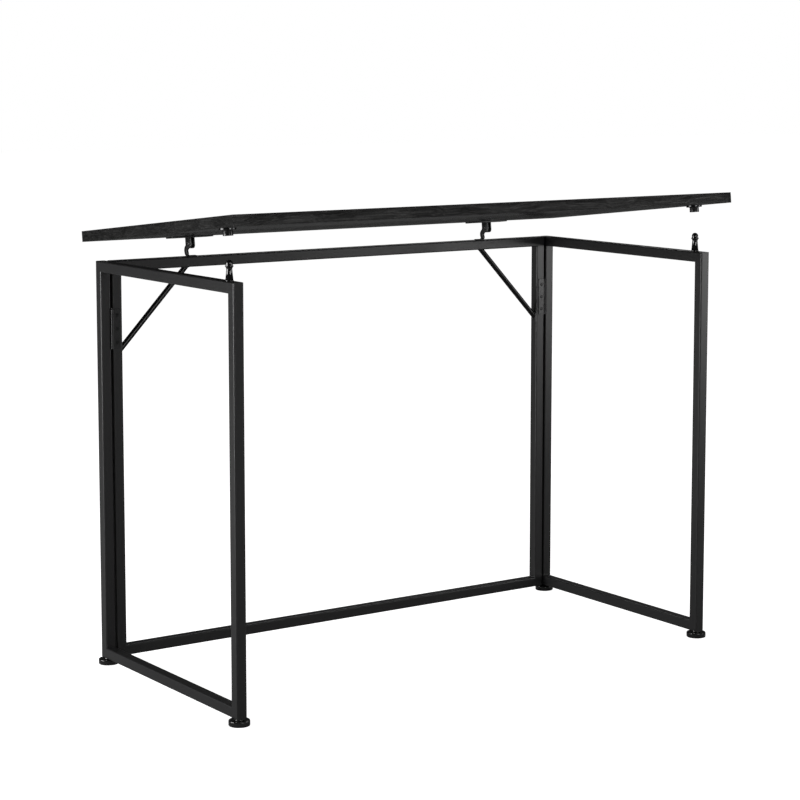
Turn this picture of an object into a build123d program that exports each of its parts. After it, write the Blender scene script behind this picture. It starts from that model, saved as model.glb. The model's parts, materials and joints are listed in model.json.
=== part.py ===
"""Folding desk: a hinged three-sided tube frame with a lift-up top."""
import os
from math import cos, radians, sin

from build123d import *

os.makedirs("parts", exist_ok=True)

# Driving dimensions, in millimetres and degrees
TUBE = 18.0
WALL = 1.2
CORNER_R = 2.0
FRAME_W = 962.0
FRAME_D = 454.0
FRAME_H = 677.0
POST_GAP = 3.4
FOOT_H = 11.0

BOARD_W = 1000.0
BOARD_D = 500.0
BOARD_T = 18.0
BAND_T = 1.0
BOARD_TILT = 6.4
BOARD_BEHIND_PIVOT = 35.2

PIVOT_X = 315.0
PIVOT_FROM_BACK = 27.0
PIVOT_ABOVE_RAIL = 23.3
PIVOT_TO_BOARD = 12.5

# Places that follow; the origin is the middle of the resting object's footprint
TILT = radians(BOARD_TILT)
BOARD_AHEAD_OF_PIVOT = BOARD_D - BOARD_BEHIND_PIVOT
REACH_FRONT = PIVOT_FROM_BACK + BOARD_AHEAD_OF_PIVOT * cos(TILT) - PIVOT_TO_BOARD * sin(TILT)
REACH_BACK = BOARD_BEHIND_PIVOT * cos(TILT) + (PIVOT_TO_BOARD + BOARD_T) * sin(TILT) - PIVOT_FROM_BACK
BACK_Y = (REACH_FRONT - REACH_BACK) / 2
FRONT_Y = BACK_Y - FRAME_D
BACK_TUBE_Y = BACK_Y - TUBE / 2
FRONT_TUBE_Y = FRONT_Y + TUBE / 2
BOTTOM_Z = FOOT_H
RAIL_TOP_Z = FOOT_H + FRAME_H
LOW_RAIL_Z = BOTTOM_Z + TUBE / 2
HIGH_RAIL_Z = RAIL_TOP_Z - TUBE / 2
WING_X = FRAME_W / 2 - TUBE / 2
WING_INNER_X = WING_X - TUBE / 2
BACK_POST_X = WING_X - TUBE - POST_GAP
HINGE_X = WING_INNER_X - POST_GAP / 2
HINGE_Y = BACK_Y - TUBE - POST_GAP / 2
PIVOT_Y = BACK_Y - PIVOT_FROM_BACK
PIVOT_Z = RAIL_TOP_Z + PIVOT_ABOVE_RAIL
BOARD_MID_Y = BOARD_BEHIND_PIVOT - BOARD_D / 2

# Origin on the pivot line, X along it, Y towards the back edge, Z out of the work surface
BOARD_PLANE = Plane(origin=(0, PIVOT_Y, PIVOT_Z), x_dir=(1, 0, 0), z_dir=(0, sin(TILT), cos(TILT)))
UNDERSIDE = BOARD_PLANE.offset(PIVOT_TO_BOARD)
SIDES = (("left", -1), ("right", 1))

# Running fit of every turning or sliding pair
CLEARANCE = 0.05

# Back frame's braces
BRACE_D = 9.5
BRACE_DROP = 151.0

# Side hinges
LEAF_TOP_DROP = 80.0
LEAF_LENGTH = 68.5
LEAF_W = 15.6
LEAF_T = 1.4
KNUCKLES = 5
KNUCKLE_R = 2.6
KNUCKLE_GAP = 0.3
HINGE_PIN_R = 1.2
HINGE_PIN_HEAD_R = 2.1
HINGE_PIN_HEAD_T = 1.2
LEAF_SCREW_PITCH = 23.0
LEAF_SCREW_FROM_AXIS = 9.2
LEAF_SCREW_R = 1.6
LEAF_SCREW_HEAD_R = 2.9
LEAF_SCREW_LENGTH = 6.0
LEAF_LOW_Z = RAIL_TOP_Z - LEAF_TOP_DROP - LEAF_LENGTH

# Locating studs and the threaded inserts
STUD_Y = FRONT_Y + 27.5
STUD_BASE_R = 6.7
STUD_BASE_T = 1.4
STUD_NECK_R = 4.9
STUD_NECK_Z = 19.6
STUD_RIM_R = 6.8
STUD_RIM_Z = 22.4
STUD_RIM_T = 1.0
STUD_HEAD_R = 5.5
STUD_TIP_Z = 32.4
STUD_ROD_R = 2.5
STUD_ROD_DOWN = 12.0
INSERT_R = 5.0
INSERT_H = 12.0
INSERT_LIP_R = 6.5
INSERT_LIP_T = 0.6

# Levelling feet
FOOT_PAD_R = 17.0
FOOT_PAD_BEVEL = 1.0
FOOT_PAD_SHOULDER_Z = 7.4
FOOT_PAD_TOP_Z = 8.8
FOOT_NECK_R = 7.6
FOOT_NECK_Z = FOOT_H - INSERT_LIP_T - 0.3
FOOT_ROD_R = 3.0
FOOT_ROD_LOW_Z = 5.0
FOOT_ROD_HIGH_Z = 45.0

# Board hinges
PLATE_L = 80.0
PLATE_D = 26.0
PLATE_T = 2.5
CLEVIS_W = 9.0
EAR_T = 2.2
EAR_DEPTH = 18.0
EAR_BELOW_PIVOT = 8.5
EAR_CORNER_R = 6.0
ARM_T = 3.8
ARM_W = 9.4
ARM_EYE_R = 6.4
ARM_TAB_L = 17.0
ARM_TAB_W = 8.2
ARM_TAB_T = 2.0
ARM_FOOT_BEHIND_PIVOT = 11.0
PIVOT_PIN_R = 2.5
PIVOT_HEAD_R = 4.0
PIVOT_HEAD_T = 1.2
PLATE_SCREW_X = 31.0
PLATE_SCREW_Y = 7.5
PLATE_SCREW_R = 1.9
PLATE_SCREW_HEAD_R = 3.6
PLATE_SCREW_LENGTH = 14.0

# Sockets
SOCKET_FLANGE_R = 13.6
SOCKET_FLANGE_T = 3.2
SOCKET_COLLAR_R = 8.1
SOCKET_BORE_R = 6.0
SOCKET_LENGTH = 11.8
SOCKET_SCREWS = 3
SOCKET_SCREW_RING_R = 10.9
SOCKET_SCREW_R = 1.1
SOCKET_SCREW_HEAD_R = 2.0
SOCKET_SCREW_LENGTH = 12.0

SINK_ANGLE = 90
ON_TOP = (Align.CENTER, Align.CENTER, Align.MIN)


def save(part, name):
    """Label a finished piece and write it as its own STEP file."""
    part.label = name
    export_step(part, f"parts/{name}.step")


def mitred_tube(start, end, square_to, inside):
    """Square tube between two corners' centres, mitred so that its short side is inside."""
    along = (end - start).normalized()
    section = Plane(origin=start - along * TUBE / 2, x_dir=square_to, z_dir=along)
    with BuildPart() as tube:
        with BuildSketch(section):
            RectangleRounded(TUBE, TUBE, CORNER_R)
            RectangleRounded(TUBE - 2 * WALL, TUBE - 2 * WALL, CORNER_R - WALL, mode=Mode.SUBTRACT)
        extrude(amount=(end - start).length + TUBE)
        split(bisect_by=Plane(origin=start, z_dir=along - inside), keep=Keep.TOP)
        split(bisect_by=Plane(origin=end, z_dir=along * -1 - inside), keep=Keep.TOP)
    return tube.part


def drilled(part, places, radius, depth):
    """The part with one round hole at each place, cut along the place's normal."""
    with BuildPart() as result:
        add(part)
        for place in places:
            with BuildSketch(place):
                Circle(radius)
            extrude(amount=depth, mode=Mode.SUBTRACT)
    return result.part


def frame_tubes(corners, square_to):
    """Four mitred tubes round a rectangle of corner centres, in the corners' order."""
    points = [Vector(*corner) for corner in corners]
    centre = (points[0] + points[2]) * 0.5
    tubes = []
    for start, end in zip(points, points[1:] + points[:1]):
        along = (end - start).normalized()
        inward = centre - start
        inside = (inward - along * inward.dot(along)).normalized()
        tubes.append(mitred_tube(start, end, square_to, inside))
    return tubes


def leaf_places(sign, kind, lift):
    """Planes of one hinge leaf's screws, facing out of the leaf, lift above the tube's wall."""
    middle = LEAF_LOW_Z + LEAF_LENGTH / 2
    heights = [middle + step * LEAF_SCREW_PITCH for step in (1, 0, -1)]
    if kind == "fixed":
        x = sign * (HINGE_X - LEAF_SCREW_FROM_AXIS)
        return [Plane(origin=(x, BACK_Y - TUBE - lift, z), z_dir=(0, -1, 0)) for z in heights]
    y = HINGE_Y + LEAF_SCREW_FROM_AXIS
    return [Plane(origin=(sign * (WING_INNER_X - lift), y, z), z_dir=(-sign, 0, 0)) for z in heights]


def facing_back(plane):
    """The same place seen from behind: normal reversed."""
    return Plane(origin=plane.origin, x_dir=plane.x_dir, z_dir=plane.z_dir * -1)


def brace(sign):
    """Diagonal round bar, cut flush with the post's inner face and the rail's underside."""
    low = Vector(sign * (BACK_POST_X - TUBE / 2), BACK_TUBE_Y, RAIL_TOP_Z - BRACE_DROP)
    high = Vector(sign * PIVOT_X, BACK_TUBE_Y, RAIL_TOP_Z - TUBE)
    along = (high - low).normalized()
    with BuildPart() as bar:
        with BuildSketch(Plane(origin=low - along * BRACE_D, z_dir=along)):
            Circle(BRACE_D / 2)
        extrude(amount=(high - low).length + 2 * BRACE_D)
        split(bisect_by=Plane(origin=low, z_dir=(-sign, 0, 0)), keep=Keep.TOP)
        split(bisect_by=Plane(origin=high, z_dir=(0, 0, -1)), keep=Keep.TOP)
    return bar.part


def hook_arm(sign):
    """Flat eye on the pivot, a shank that bends back and down, and a tab along the rail."""
    side_plane = Plane(origin=(sign * PIVOT_X - ARM_T / 2, PIVOT_Y, PIVOT_Z), x_dir=(0, 1, 0), z_dir=(1, 0, 0))
    tab_x = sign * (PIVOT_X + ARM_T / 2 - ARM_TAB_L / 2)
    with BuildPart() as arm:
        with BuildSketch(side_plane):
            with BuildLine():
                Spline((0, 0), (8.0, -4.6), (13.4, -11.5), (ARM_FOOT_BEHIND_PIVOT, -PIVOT_ABOVE_RAIL))
            trace(line_width=ARM_W)
            Circle(ARM_EYE_R)
            Circle(PIVOT_PIN_R + CLEARANCE, mode=Mode.SUBTRACT)
        extrude(amount=ARM_T)
        split(bisect_by=Plane(origin=(0, 0, RAIL_TOP_Z), z_dir=(0, 0, 1)), keep=Keep.TOP)
        with BuildSketch(Plane.XY.offset(RAIL_TOP_Z)):
            with Locations((tab_x, PIVOT_Y + ARM_FOOT_BEHIND_PIVOT)):
                RectangleRounded(ARM_TAB_L, ARM_TAB_W, 1.5)
        extrude(amount=ARM_TAB_T)
    return arm.part


def knuckle_span(index):
    """Lowest and highest Z of one side hinge knuckle, counted from the top."""
    pitch = LEAF_LENGTH / KNUCKLES
    top = LEAF_LOW_Z + LEAF_LENGTH - index * pitch
    return top - pitch + KNUCKLE_GAP / 2, top - KNUCKLE_GAP / 2


def hinge_leaf(sign, kind):
    """One leaf of a side hinge: outer knuckles on the fixed leaf, inner ones on the moving one."""
    axis_plane = Plane(origin=(sign * HINGE_X, HINGE_Y, 0))
    wall = POST_GAP / 2 - LEAF_T / 2
    fixed = kind == "fixed"
    near = KNUCKLE_R + KNUCKLE_GAP
    with BuildPart() as leaf:
        for index in range(0 if fixed else 1, KNUCKLES, 2):
            low, high = knuckle_span(index)
            with BuildSketch(axis_plane.offset(low)):
                Circle(KNUCKLE_R)
                with Locations((-sign * near / 2, wall) if fixed else (sign * wall, near / 2)):
                    Rectangle(near if fixed else LEAF_T, LEAF_T if fixed else near)
            extrude(amount=high - low)
        low = knuckle_span(KNUCKLES - 1)[0]
        length = knuckle_span(0)[1] - low
        with BuildSketch(axis_plane.offset(low)):
            middle = (near + LEAF_W) / 2
            with Locations((-sign * middle, wall) if fixed else (sign * wall, middle)):
                Rectangle(LEAF_W - near if fixed else LEAF_T, LEAF_T if fixed else LEAF_W - near)
        extrude(amount=length)
        with BuildSketch(axis_plane.offset(low)):
            Circle(HINGE_PIN_R if fixed else HINGE_PIN_R + CLEARANCE)
        extrude(amount=length, mode=Mode.SUBTRACT)
        with Locations(*leaf_places(sign, kind, LEAF_T)):
            CounterSinkHole(LEAF_SCREW_R, LEAF_SCREW_HEAD_R, LEAF_T, SINK_ANGLE)
    return leaf.part


def countersunk_screws(places, radius, head_radius, length):
    """Flat-headed screws, one at each place, head flush with the place and pointing inward."""
    with BuildPart() as screws:
        with Locations(*[facing_back(place) for place in places]):
            Cone(head_radius, radius, head_radius - radius, align=ON_TOP)
            Cylinder(radius, length, align=ON_TOP)
    return screws.part


def hinge_pin(sign):
    """Round pin of a side hinge, pressed into the fixed knuckles, with a domed head."""
    axis_plane = Plane(origin=(sign * HINGE_X, HINGE_Y, 0))
    low = knuckle_span(KNUCKLES - 1)[0]
    high = knuckle_span(0)[1]
    with BuildPart() as pin:
        with BuildSketch(axis_plane.offset(low)):
            Circle(HINGE_PIN_R)
        extrude(amount=high - low)
        with BuildSketch(axis_plane.offset(high)):
            Circle(HINGE_PIN_HEAD_R)
        extrude(amount=HINGE_PIN_HEAD_T)
        fillet(pin.faces().sort_by(Axis.Z)[-1].edges(), HINGE_PIN_HEAD_T * 0.7)
    return pin.part


def locating_stud(sign):
    """Tapered post with a thin rim, a domed head and a threaded end."""
    profile_plane = Plane(origin=(sign * WING_X, STUD_Y, RAIL_TOP_Z), x_dir=(1, 0, 0), z_dir=(0, -1, 0))
    dome_z = STUD_TIP_Z - STUD_HEAD_R
    rim_top = STUD_RIM_Z + STUD_RIM_T
    with BuildPart() as stud:
        with BuildSketch(profile_plane):
            with BuildLine():
                Polyline(
                    (0, STUD_TIP_Z), (0, -STUD_ROD_DOWN), (STUD_ROD_R, -STUD_ROD_DOWN), (STUD_ROD_R, 0),
                    (STUD_BASE_R, 0), (STUD_BASE_R, STUD_BASE_T), (STUD_NECK_R, STUD_NECK_Z),
                    (STUD_RIM_R, STUD_RIM_Z), (STUD_RIM_R, rim_top), (STUD_HEAD_R, rim_top), (STUD_HEAD_R, dome_z),
                )
                RadiusArc((STUD_HEAD_R, dome_z), (0, STUD_TIP_Z), -STUD_HEAD_R)
            make_face()
        revolve(axis=Axis(profile_plane.origin, (0, 0, 1)))
    return stud.part


def stud_insert(sign):
    """Threaded insert that holds the stud in the top rail."""
    with BuildPart() as insert:
        with BuildSketch(Plane(origin=(sign * WING_X, STUD_Y, RAIL_TOP_Z))):
            Circle(INSERT_R)
            Circle(STUD_ROD_R, mode=Mode.SUBTRACT)
        extrude(amount=-INSERT_H)
    return insert.part


def foot_insert(sign, y):
    """Lipped threaded insert in a post's lower end."""
    with BuildPart() as insert:
        with BuildSketch(Plane(origin=(sign * WING_X, y, BOTTOM_Z))):
            Circle(INSERT_R)
        extrude(amount=INSERT_H)
        with BuildSketch(Plane(origin=(sign * WING_X, y, BOTTOM_Z))):
            Circle(INSERT_LIP_R)
        extrude(amount=-INSERT_LIP_T)
        with BuildSketch(Plane(origin=(sign * WING_X, y, BOTTOM_Z - INSERT_LIP_T))):
            Circle(FOOT_ROD_R + CLEARANCE)
        extrude(amount=INSERT_LIP_T + INSERT_H, mode=Mode.SUBTRACT)
    return insert.part


def foot_rod(sign, y):
    """Threaded rod of a levelling foot."""
    with BuildPart() as rod:
        with BuildSketch(Plane(origin=(sign * WING_X, y, FOOT_ROD_LOW_Z))):
            Circle(FOOT_ROD_R)
        extrude(amount=FOOT_ROD_HIGH_Z - FOOT_ROD_LOW_Z)
        chamfer(rod.faces().sort_by(Axis.Z)[-1].edges(), 0.6)
    return rod.part


def foot_pad(sign, y):
    """Round base and waisted neck of a levelling foot, moulded on its rod."""
    profile_plane = Plane(origin=(sign * WING_X, y, 0), x_dir=(1, 0, 0), z_dir=(0, -1, 0))
    shoulder_r = FOOT_PAD_R - (FOOT_PAD_TOP_Z - FOOT_PAD_SHOULDER_Z)
    with BuildPart() as pad:
        with BuildSketch(profile_plane):
            with BuildLine():
                Polyline((FOOT_NECK_R, FOOT_NECK_Z), (0, FOOT_NECK_Z), (0, 0), (FOOT_PAD_R - FOOT_PAD_BEVEL, 0),
                         (FOOT_PAD_R, FOOT_PAD_BEVEL), (FOOT_PAD_R, FOOT_PAD_SHOULDER_Z))
                RadiusArc((FOOT_PAD_R, FOOT_PAD_SHOULDER_Z), (shoulder_r, FOOT_PAD_TOP_Z),
                          -(FOOT_PAD_R - shoulder_r))
                RadiusArc((shoulder_r, FOOT_PAD_TOP_Z), (FOOT_NECK_R, FOOT_NECK_Z), 14.0)
            make_face()
        revolve(axis=Axis(profile_plane.origin, (0, 0, 1)))
        with BuildSketch(Plane(origin=(sign * WING_X, y, FOOT_ROD_LOW_Z))):
            Circle(FOOT_ROD_R)
        extrude(amount=FOOT_H, mode=Mode.SUBTRACT)
    return pad.part


def side_of_pivot(sign, x_offset):
    """Plane across the pivot line at one hinge: X towards the back edge, Y out of the board."""
    origin = BOARD_PLANE.from_local_coords((sign * PIVOT_X + x_offset, 0, 0))
    return Plane(origin=origin, x_dir=BOARD_PLANE.y_dir, z_dir=(1, 0, 0))


def plate_screw_places(sign):
    """Planes of one hinge plate's four screws, facing down off the plate's lower face."""
    places = []
    for x in (-PLATE_SCREW_X, PLATE_SCREW_X):
        for y in (-PLATE_SCREW_Y, PLATE_SCREW_Y):
            origin = UNDERSIDE.from_local_coords((sign * PIVOT_X + x, y, -PLATE_T))
            places.append(Plane(origin=origin, x_dir=(1, 0, 0), z_dir=UNDERSIDE.z_dir * -1))
    return places


def top_hinge_plate(sign):
    """Long plate with a two-eared clevis, screwed to the board's underside."""
    ear_top = PIVOT_TO_BOARD - PLATE_T
    with BuildPart() as plate:
        with BuildSketch(UNDERSIDE):
            with Locations((sign * PIVOT_X, 0)):
                RectangleRounded(PLATE_L, PLATE_D, 3)
        extrude(amount=-PLATE_T)
        for ear_start in (-CLEVIS_W / 2, CLEVIS_W / 2 - EAR_T):
            with BuildSketch(side_of_pivot(sign, ear_start)):
                with Locations((0, -EAR_BELOW_PIVOT)):
                    Rectangle(EAR_DEPTH, ear_top + EAR_BELOW_PIVOT, align=(Align.CENTER, Align.MIN))
            extrude(amount=EAR_T)
        low_corners = plate.edges().filter_by(Axis.X).group_by(Axis.Z)[:2]
        fillet([edge for group in low_corners for edge in group], EAR_CORNER_R)
        with BuildSketch(side_of_pivot(sign, -CLEVIS_W / 2)):
            Circle(PIVOT_PIN_R)
        extrude(amount=CLEVIS_W, mode=Mode.SUBTRACT)
        with Locations(*plate_screw_places(sign)):
            CounterSinkHole(PLATE_SCREW_R, PLATE_SCREW_HEAD_R, PLATE_T, SINK_ANGLE)
    return plate.part


def pivot_pin(sign):
    """Rivet through the clevis and the hook arm's eye, with a low round head at each end."""
    with BuildPart() as pin:
        with BuildSketch(side_of_pivot(sign, -CLEVIS_W / 2)):
            Circle(PIVOT_PIN_R)
        extrude(amount=CLEVIS_W)
        for head_start in (-CLEVIS_W / 2 - PIVOT_HEAD_T, CLEVIS_W / 2):
            with BuildSketch(side_of_pivot(sign, head_start)):
                Circle(PIVOT_HEAD_R)
            extrude(amount=PIVOT_HEAD_T)
        for end in (0, -1):
            fillet(pin.faces().sort_by(Axis.X)[end].edges(), PIVOT_HEAD_T * 0.6)
    return pin.part


def socket_centre(sign):
    """Plane of one socket on the board's underside, over its stud when the board is down."""
    return Plane(
        origin=UNDERSIDE.from_local_coords((sign * WING_X, STUD_Y - PIVOT_Y, 0)),
        x_dir=(1, 0, 0), z_dir=UNDERSIDE.z_dir * -1,
    )


def socket_screw_places(sign):
    """Planes of one socket's screws, facing down off the flange."""
    centre = socket_centre(sign).offset(SOCKET_FLANGE_T)
    step = 360 / SOCKET_SCREWS
    places = []
    for index in range(SOCKET_SCREWS):
        spoke = Vector(SOCKET_SCREW_RING_R, 0, 0).rotate(Axis.Z, 90 + index * step)
        places.append(Plane(origin=centre.from_local_coords(spoke), x_dir=(1, 0, 0), z_dir=centre.z_dir))
    return places


def socket(sign):
    """Flanged cup whose collar comes down over the stud's head and rests on its rim."""
    with BuildPart() as cup:
        with BuildSketch(socket_centre(sign)):
            Circle(SOCKET_FLANGE_R)
        extrude(amount=SOCKET_FLANGE_T)
        chamfer(cup.edges().filter_by(GeomType.CIRCLE).sort_by(Axis.Z)[0], 1.0)
        with BuildSketch(socket_centre(sign)):
            Circle(SOCKET_COLLAR_R)
        extrude(amount=SOCKET_LENGTH)
        with BuildSketch(socket_centre(sign)):
            Circle(SOCKET_BORE_R)
        extrude(amount=SOCKET_LENGTH, mode=Mode.SUBTRACT)
        with Locations(*socket_screw_places(sign)):
            CounterSinkHole(SOCKET_SCREW_R, SOCKET_SCREW_HEAD_R, SOCKET_FLANGE_T, SINK_ANGLE)
    return cup.part


def board_panel(width, depth, x, y):
    """Flat panel of the board's thickness, centred at x, y on the underside."""
    with BuildPart() as panel:
        with BuildSketch(UNDERSIDE):
            with Locations((x, y)):
                Rectangle(width, depth)
        extrude(amount=BOARD_T)
    return panel.part


# Back frame
back_corners = [
    (-BACK_POST_X, BACK_TUBE_Y, LOW_RAIL_Z), (BACK_POST_X, BACK_TUBE_Y, LOW_RAIL_Z),
    (BACK_POST_X, BACK_TUBE_Y, HIGH_RAIL_Z), (-BACK_POST_X, BACK_TUBE_Y, HIGH_RAIL_Z),
]
bottom_rail, right_post, top_rail, left_post = frame_tubes(back_corners, (0, 1, 0))
save(bottom_rail, "back_bottom_rail")
save(top_rail, "back_top_rail")
for post, (side, sign) in zip((left_post, right_post), SIDES):
    places = [facing_back(place) for place in leaf_places(sign, "fixed", LEAF_T)]
    save(drilled(post, places, LEAF_SCREW_R, LEAF_SCREW_LENGTH), f"back_{side}_post")

# Side wings, their hinges, studs and feet
for side, sign in SIDES:
    wing_x = sign * WING_X
    wing_corners = [
        (wing_x, BACK_TUBE_Y, LOW_RAIL_Z), (wing_x, FRONT_TUBE_Y, LOW_RAIL_Z),
        (wing_x, FRONT_TUBE_Y, HIGH_RAIL_Z), (wing_x, BACK_TUBE_Y, HIGH_RAIL_Z),
    ]
    bottom_rail, front_post, top_rail, back_post = frame_tubes(wing_corners, (1, 0, 0))
    foot_places = [Plane(origin=(wing_x, y, BOTTOM_Z)) for y in (FRONT_TUBE_Y, BACK_TUBE_Y)]
    screw_places = [facing_back(place) for place in leaf_places(sign, "moving", LEAF_T)]
    stud_place = facing_back(Plane(origin=(wing_x, STUD_Y, RAIL_TOP_Z)))
    save(drilled(bottom_rail, foot_places, INSERT_R, 2 * WALL), f"{side}_wing_bottom_rail")
    save(front_post, f"{side}_wing_front_post")
    save(drilled(top_rail, [stud_place], INSERT_R, 2 * WALL), f"{side}_wing_top_rail")
    save(drilled(back_post, screw_places, LEAF_SCREW_R, LEAF_SCREW_LENGTH), f"{side}_wing_back_post")

    for kind in ("fixed", "moving"):
        save(hinge_leaf(sign, kind), f"{side}_hinge_{kind}_leaf")
        leaf_screws = countersunk_screws(
            leaf_places(sign, kind, LEAF_T), LEAF_SCREW_R, LEAF_SCREW_HEAD_R, LEAF_SCREW_LENGTH)
        save(leaf_screws, f"{side}_hinge_{kind}_screws")
    save(hinge_pin(sign), f"{side}_hinge_pin")

    save(locating_stud(sign), f"{side}_locating_stud")
    save(stud_insert(sign), f"{side}_stud_insert")
    for end, y in (("front", FRONT_TUBE_Y), ("back", BACK_TUBE_Y)):
        save(foot_insert(sign, y), f"{side}_{end}_foot_insert")
        save(foot_rod(sign, y), f"{side}_{end}_foot_rod")
        save(foot_pad(sign, y), f"{side}_{end}_foot_pad")

    save(brace(sign), f"{side}_brace")
    save(hook_arm(sign), f"{side}_hook_arm")

# Tabletop with its edge bands
board = board_panel(BOARD_W - 2 * BAND_T, BOARD_D - 2 * BAND_T, 0, BOARD_MID_Y)
for side, sign in SIDES:
    plate_holes = [facing_back(place) for place in plate_screw_places(sign)]
    socket_holes = [facing_back(place) for place in socket_screw_places(sign)]
    board = drilled(board, plate_holes, PLATE_SCREW_R, PLATE_SCREW_LENGTH)
    board = drilled(board, socket_holes, SOCKET_SCREW_R, SOCKET_SCREW_LENGTH)
save(board, "tabletop_board")
band_y = (BOARD_D - BAND_T) / 2
for name, offset in (("front", -band_y), ("back", band_y)):
    save(board_panel(BOARD_W, BAND_T, 0, BOARD_MID_Y + offset), f"{name}_edge_band")
for side, sign in SIDES:
    side_x = sign * (BOARD_W - BAND_T) / 2
    save(board_panel(BAND_T, BOARD_D - 2 * BAND_T, side_x, BOARD_MID_Y), f"{side}_edge_band")

# Fittings on the tabletop's underside
for side, sign in SIDES:
    save(top_hinge_plate(sign), f"{side}_top_hinge_plate")
    save(pivot_pin(sign), f"{side}_pivot_pin")
    plate_screws = countersunk_screws(
        plate_screw_places(sign), PLATE_SCREW_R, PLATE_SCREW_HEAD_R, PLATE_SCREW_LENGTH)
    save(plate_screws, f"{side}_plate_screws")
    save(socket(sign), f"{side}_socket")
    socket_screws = countersunk_screws(
        socket_screw_places(sign), SOCKET_SCREW_R, SOCKET_SCREW_HEAD_R, SOCKET_SCREW_LENGTH)
    save(socket_screws, f"{side}_socket_screws")
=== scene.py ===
"""Looks of a folding desk: a hinged tube frame, a lift-up wood-grain top and its fittings."""
import json
import logging
import math
from dataclasses import dataclass, field
from enum import Enum
from typing import Optional, Sequence

import bmesh
import bpy
from bmesh.types import BMesh, BMVert
from bpy.types import Material, Mesh, Node, NodeSocket, NodeTree, Object
from mathutils import Matrix, Vector


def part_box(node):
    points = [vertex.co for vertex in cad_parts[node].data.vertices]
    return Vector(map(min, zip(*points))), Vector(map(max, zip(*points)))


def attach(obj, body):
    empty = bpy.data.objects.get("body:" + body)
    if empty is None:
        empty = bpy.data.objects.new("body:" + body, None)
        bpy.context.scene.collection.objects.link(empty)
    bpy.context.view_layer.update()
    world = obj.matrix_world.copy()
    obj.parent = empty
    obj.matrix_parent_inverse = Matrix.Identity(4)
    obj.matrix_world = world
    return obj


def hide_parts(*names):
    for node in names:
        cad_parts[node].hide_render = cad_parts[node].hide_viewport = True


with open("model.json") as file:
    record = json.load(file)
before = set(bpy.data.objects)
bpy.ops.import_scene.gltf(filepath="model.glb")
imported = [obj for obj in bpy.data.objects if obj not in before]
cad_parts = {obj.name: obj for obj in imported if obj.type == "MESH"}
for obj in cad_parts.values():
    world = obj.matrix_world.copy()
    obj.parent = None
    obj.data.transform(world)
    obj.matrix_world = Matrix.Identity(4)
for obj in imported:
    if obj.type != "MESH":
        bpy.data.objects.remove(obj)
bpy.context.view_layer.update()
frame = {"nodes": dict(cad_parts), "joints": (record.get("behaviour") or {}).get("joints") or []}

log = logging.getLogger("desk")

Colour = tuple[float, float, float]
Outline = Sequence[tuple[float, float]]
MM = 0.001
DUST: Colour = (0.16, 0.155, 0.15)
SIDES = ("left", "right")
ENDS = ("front", "back")


class Slot(Enum):
    """Material slots of the record; no piece in this script takes its finish from them."""

    FRAME = "frame_paint"
    EDGE = "edge_laminate"
    BOARD = "board_laminate"
    HINGE = "hinge_steel"
    SCREW = "screw_steel"
    ZINC = "zinc_steel"
    STUD = "stud_gloss"
    FOOT = "foot_plastic"
    SOCKET = "socket_plastic"


# --------------------------------------------------------------------------- node graphs


class Graph:
    """Adds nodes to one node tree and joins them by socket."""

    def __init__(self, tree: NodeTree) -> None:
        """Start writing into a tree.

        Args:
            tree: The shader or geometry tree to fill.
        """
        self.tree = tree

    def node(self, kind: str, inputs: Optional[dict] = None, **settings: object) -> Node:
        """Add one node.

        Args:
            kind: The node's type name.
            inputs: Socket name or index to a value, or to an output socket to join.
            settings: Properties set on the node before its inputs.

        Returns:
            The new node.
        """
        made = self.tree.nodes.new(kind)
        for key, value in settings.items():
            setattr(made, key, value)
        for key, value in (inputs or {}).items():
            if isinstance(value, NodeSocket):
                self.tree.links.new(value, made.inputs[key])
            else:
                made.inputs[key].default_value = value
        return made

    def math(self, operation: str, *values: object) -> NodeSocket:
        """Join a Math node of up to three values and return its result."""
        return self.node("ShaderNodeMath", dict(enumerate(values)), operation=operation).outputs[0]

    def span(self, value: object, low: float, high: float, to_low: float,
             to_high: float) -> NodeSocket:
        """Map a value from one span to another, held inside the second.

        Args:
            value: The socket to map.
            low: Value that becomes to_low.
            high: Value that becomes to_high.
            to_low: First end of the result.
            to_high: Second end of the result.

        Returns:
            The mapped value's socket.
        """
        inputs = {"Value": value, "From Min": low, "From Max": high, "To Min": to_low, "To Max": to_high}
        return self.node("ShaderNodeMapRange", inputs).outputs["Result"]

    def mix(self, factor: object, first: object, second: object) -> NodeSocket:
        """Mix two colours by a factor and return the result."""
        return self.node("ShaderNodeMix", {0: factor, 6: first, 7: second}, data_type="RGBA").outputs[2]

    def group(self, tree: NodeTree, inputs: dict) -> Node:
        """Place a shader group in this tree with its own values."""
        return self.node("ShaderNodeGroup", inputs, node_tree=tree)

    def noise(self, vector: object, scale: object, detail: float = 2.0,
              roughness: float = 0.5) -> NodeSocket:
        """Add a noise texture and return its value.

        Args:
            vector: Coordinates of the pattern.
            scale: Features per metre.
            detail: Octaves of finer noise.
            roughness: Strength of the finer octaves.

        Returns:
            The noise value's socket, about 0.5 on average.
        """
        inputs = {"Vector": vector, "Scale": scale, "Detail": detail, "Roughness": roughness}
        return self.node("ShaderNodeTexNoise", inputs).outputs[0]


def rgba(colour: Colour) -> tuple[float, float, float, float]:
    """The colour with full alpha."""
    return (*colour, 1.0)


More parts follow.
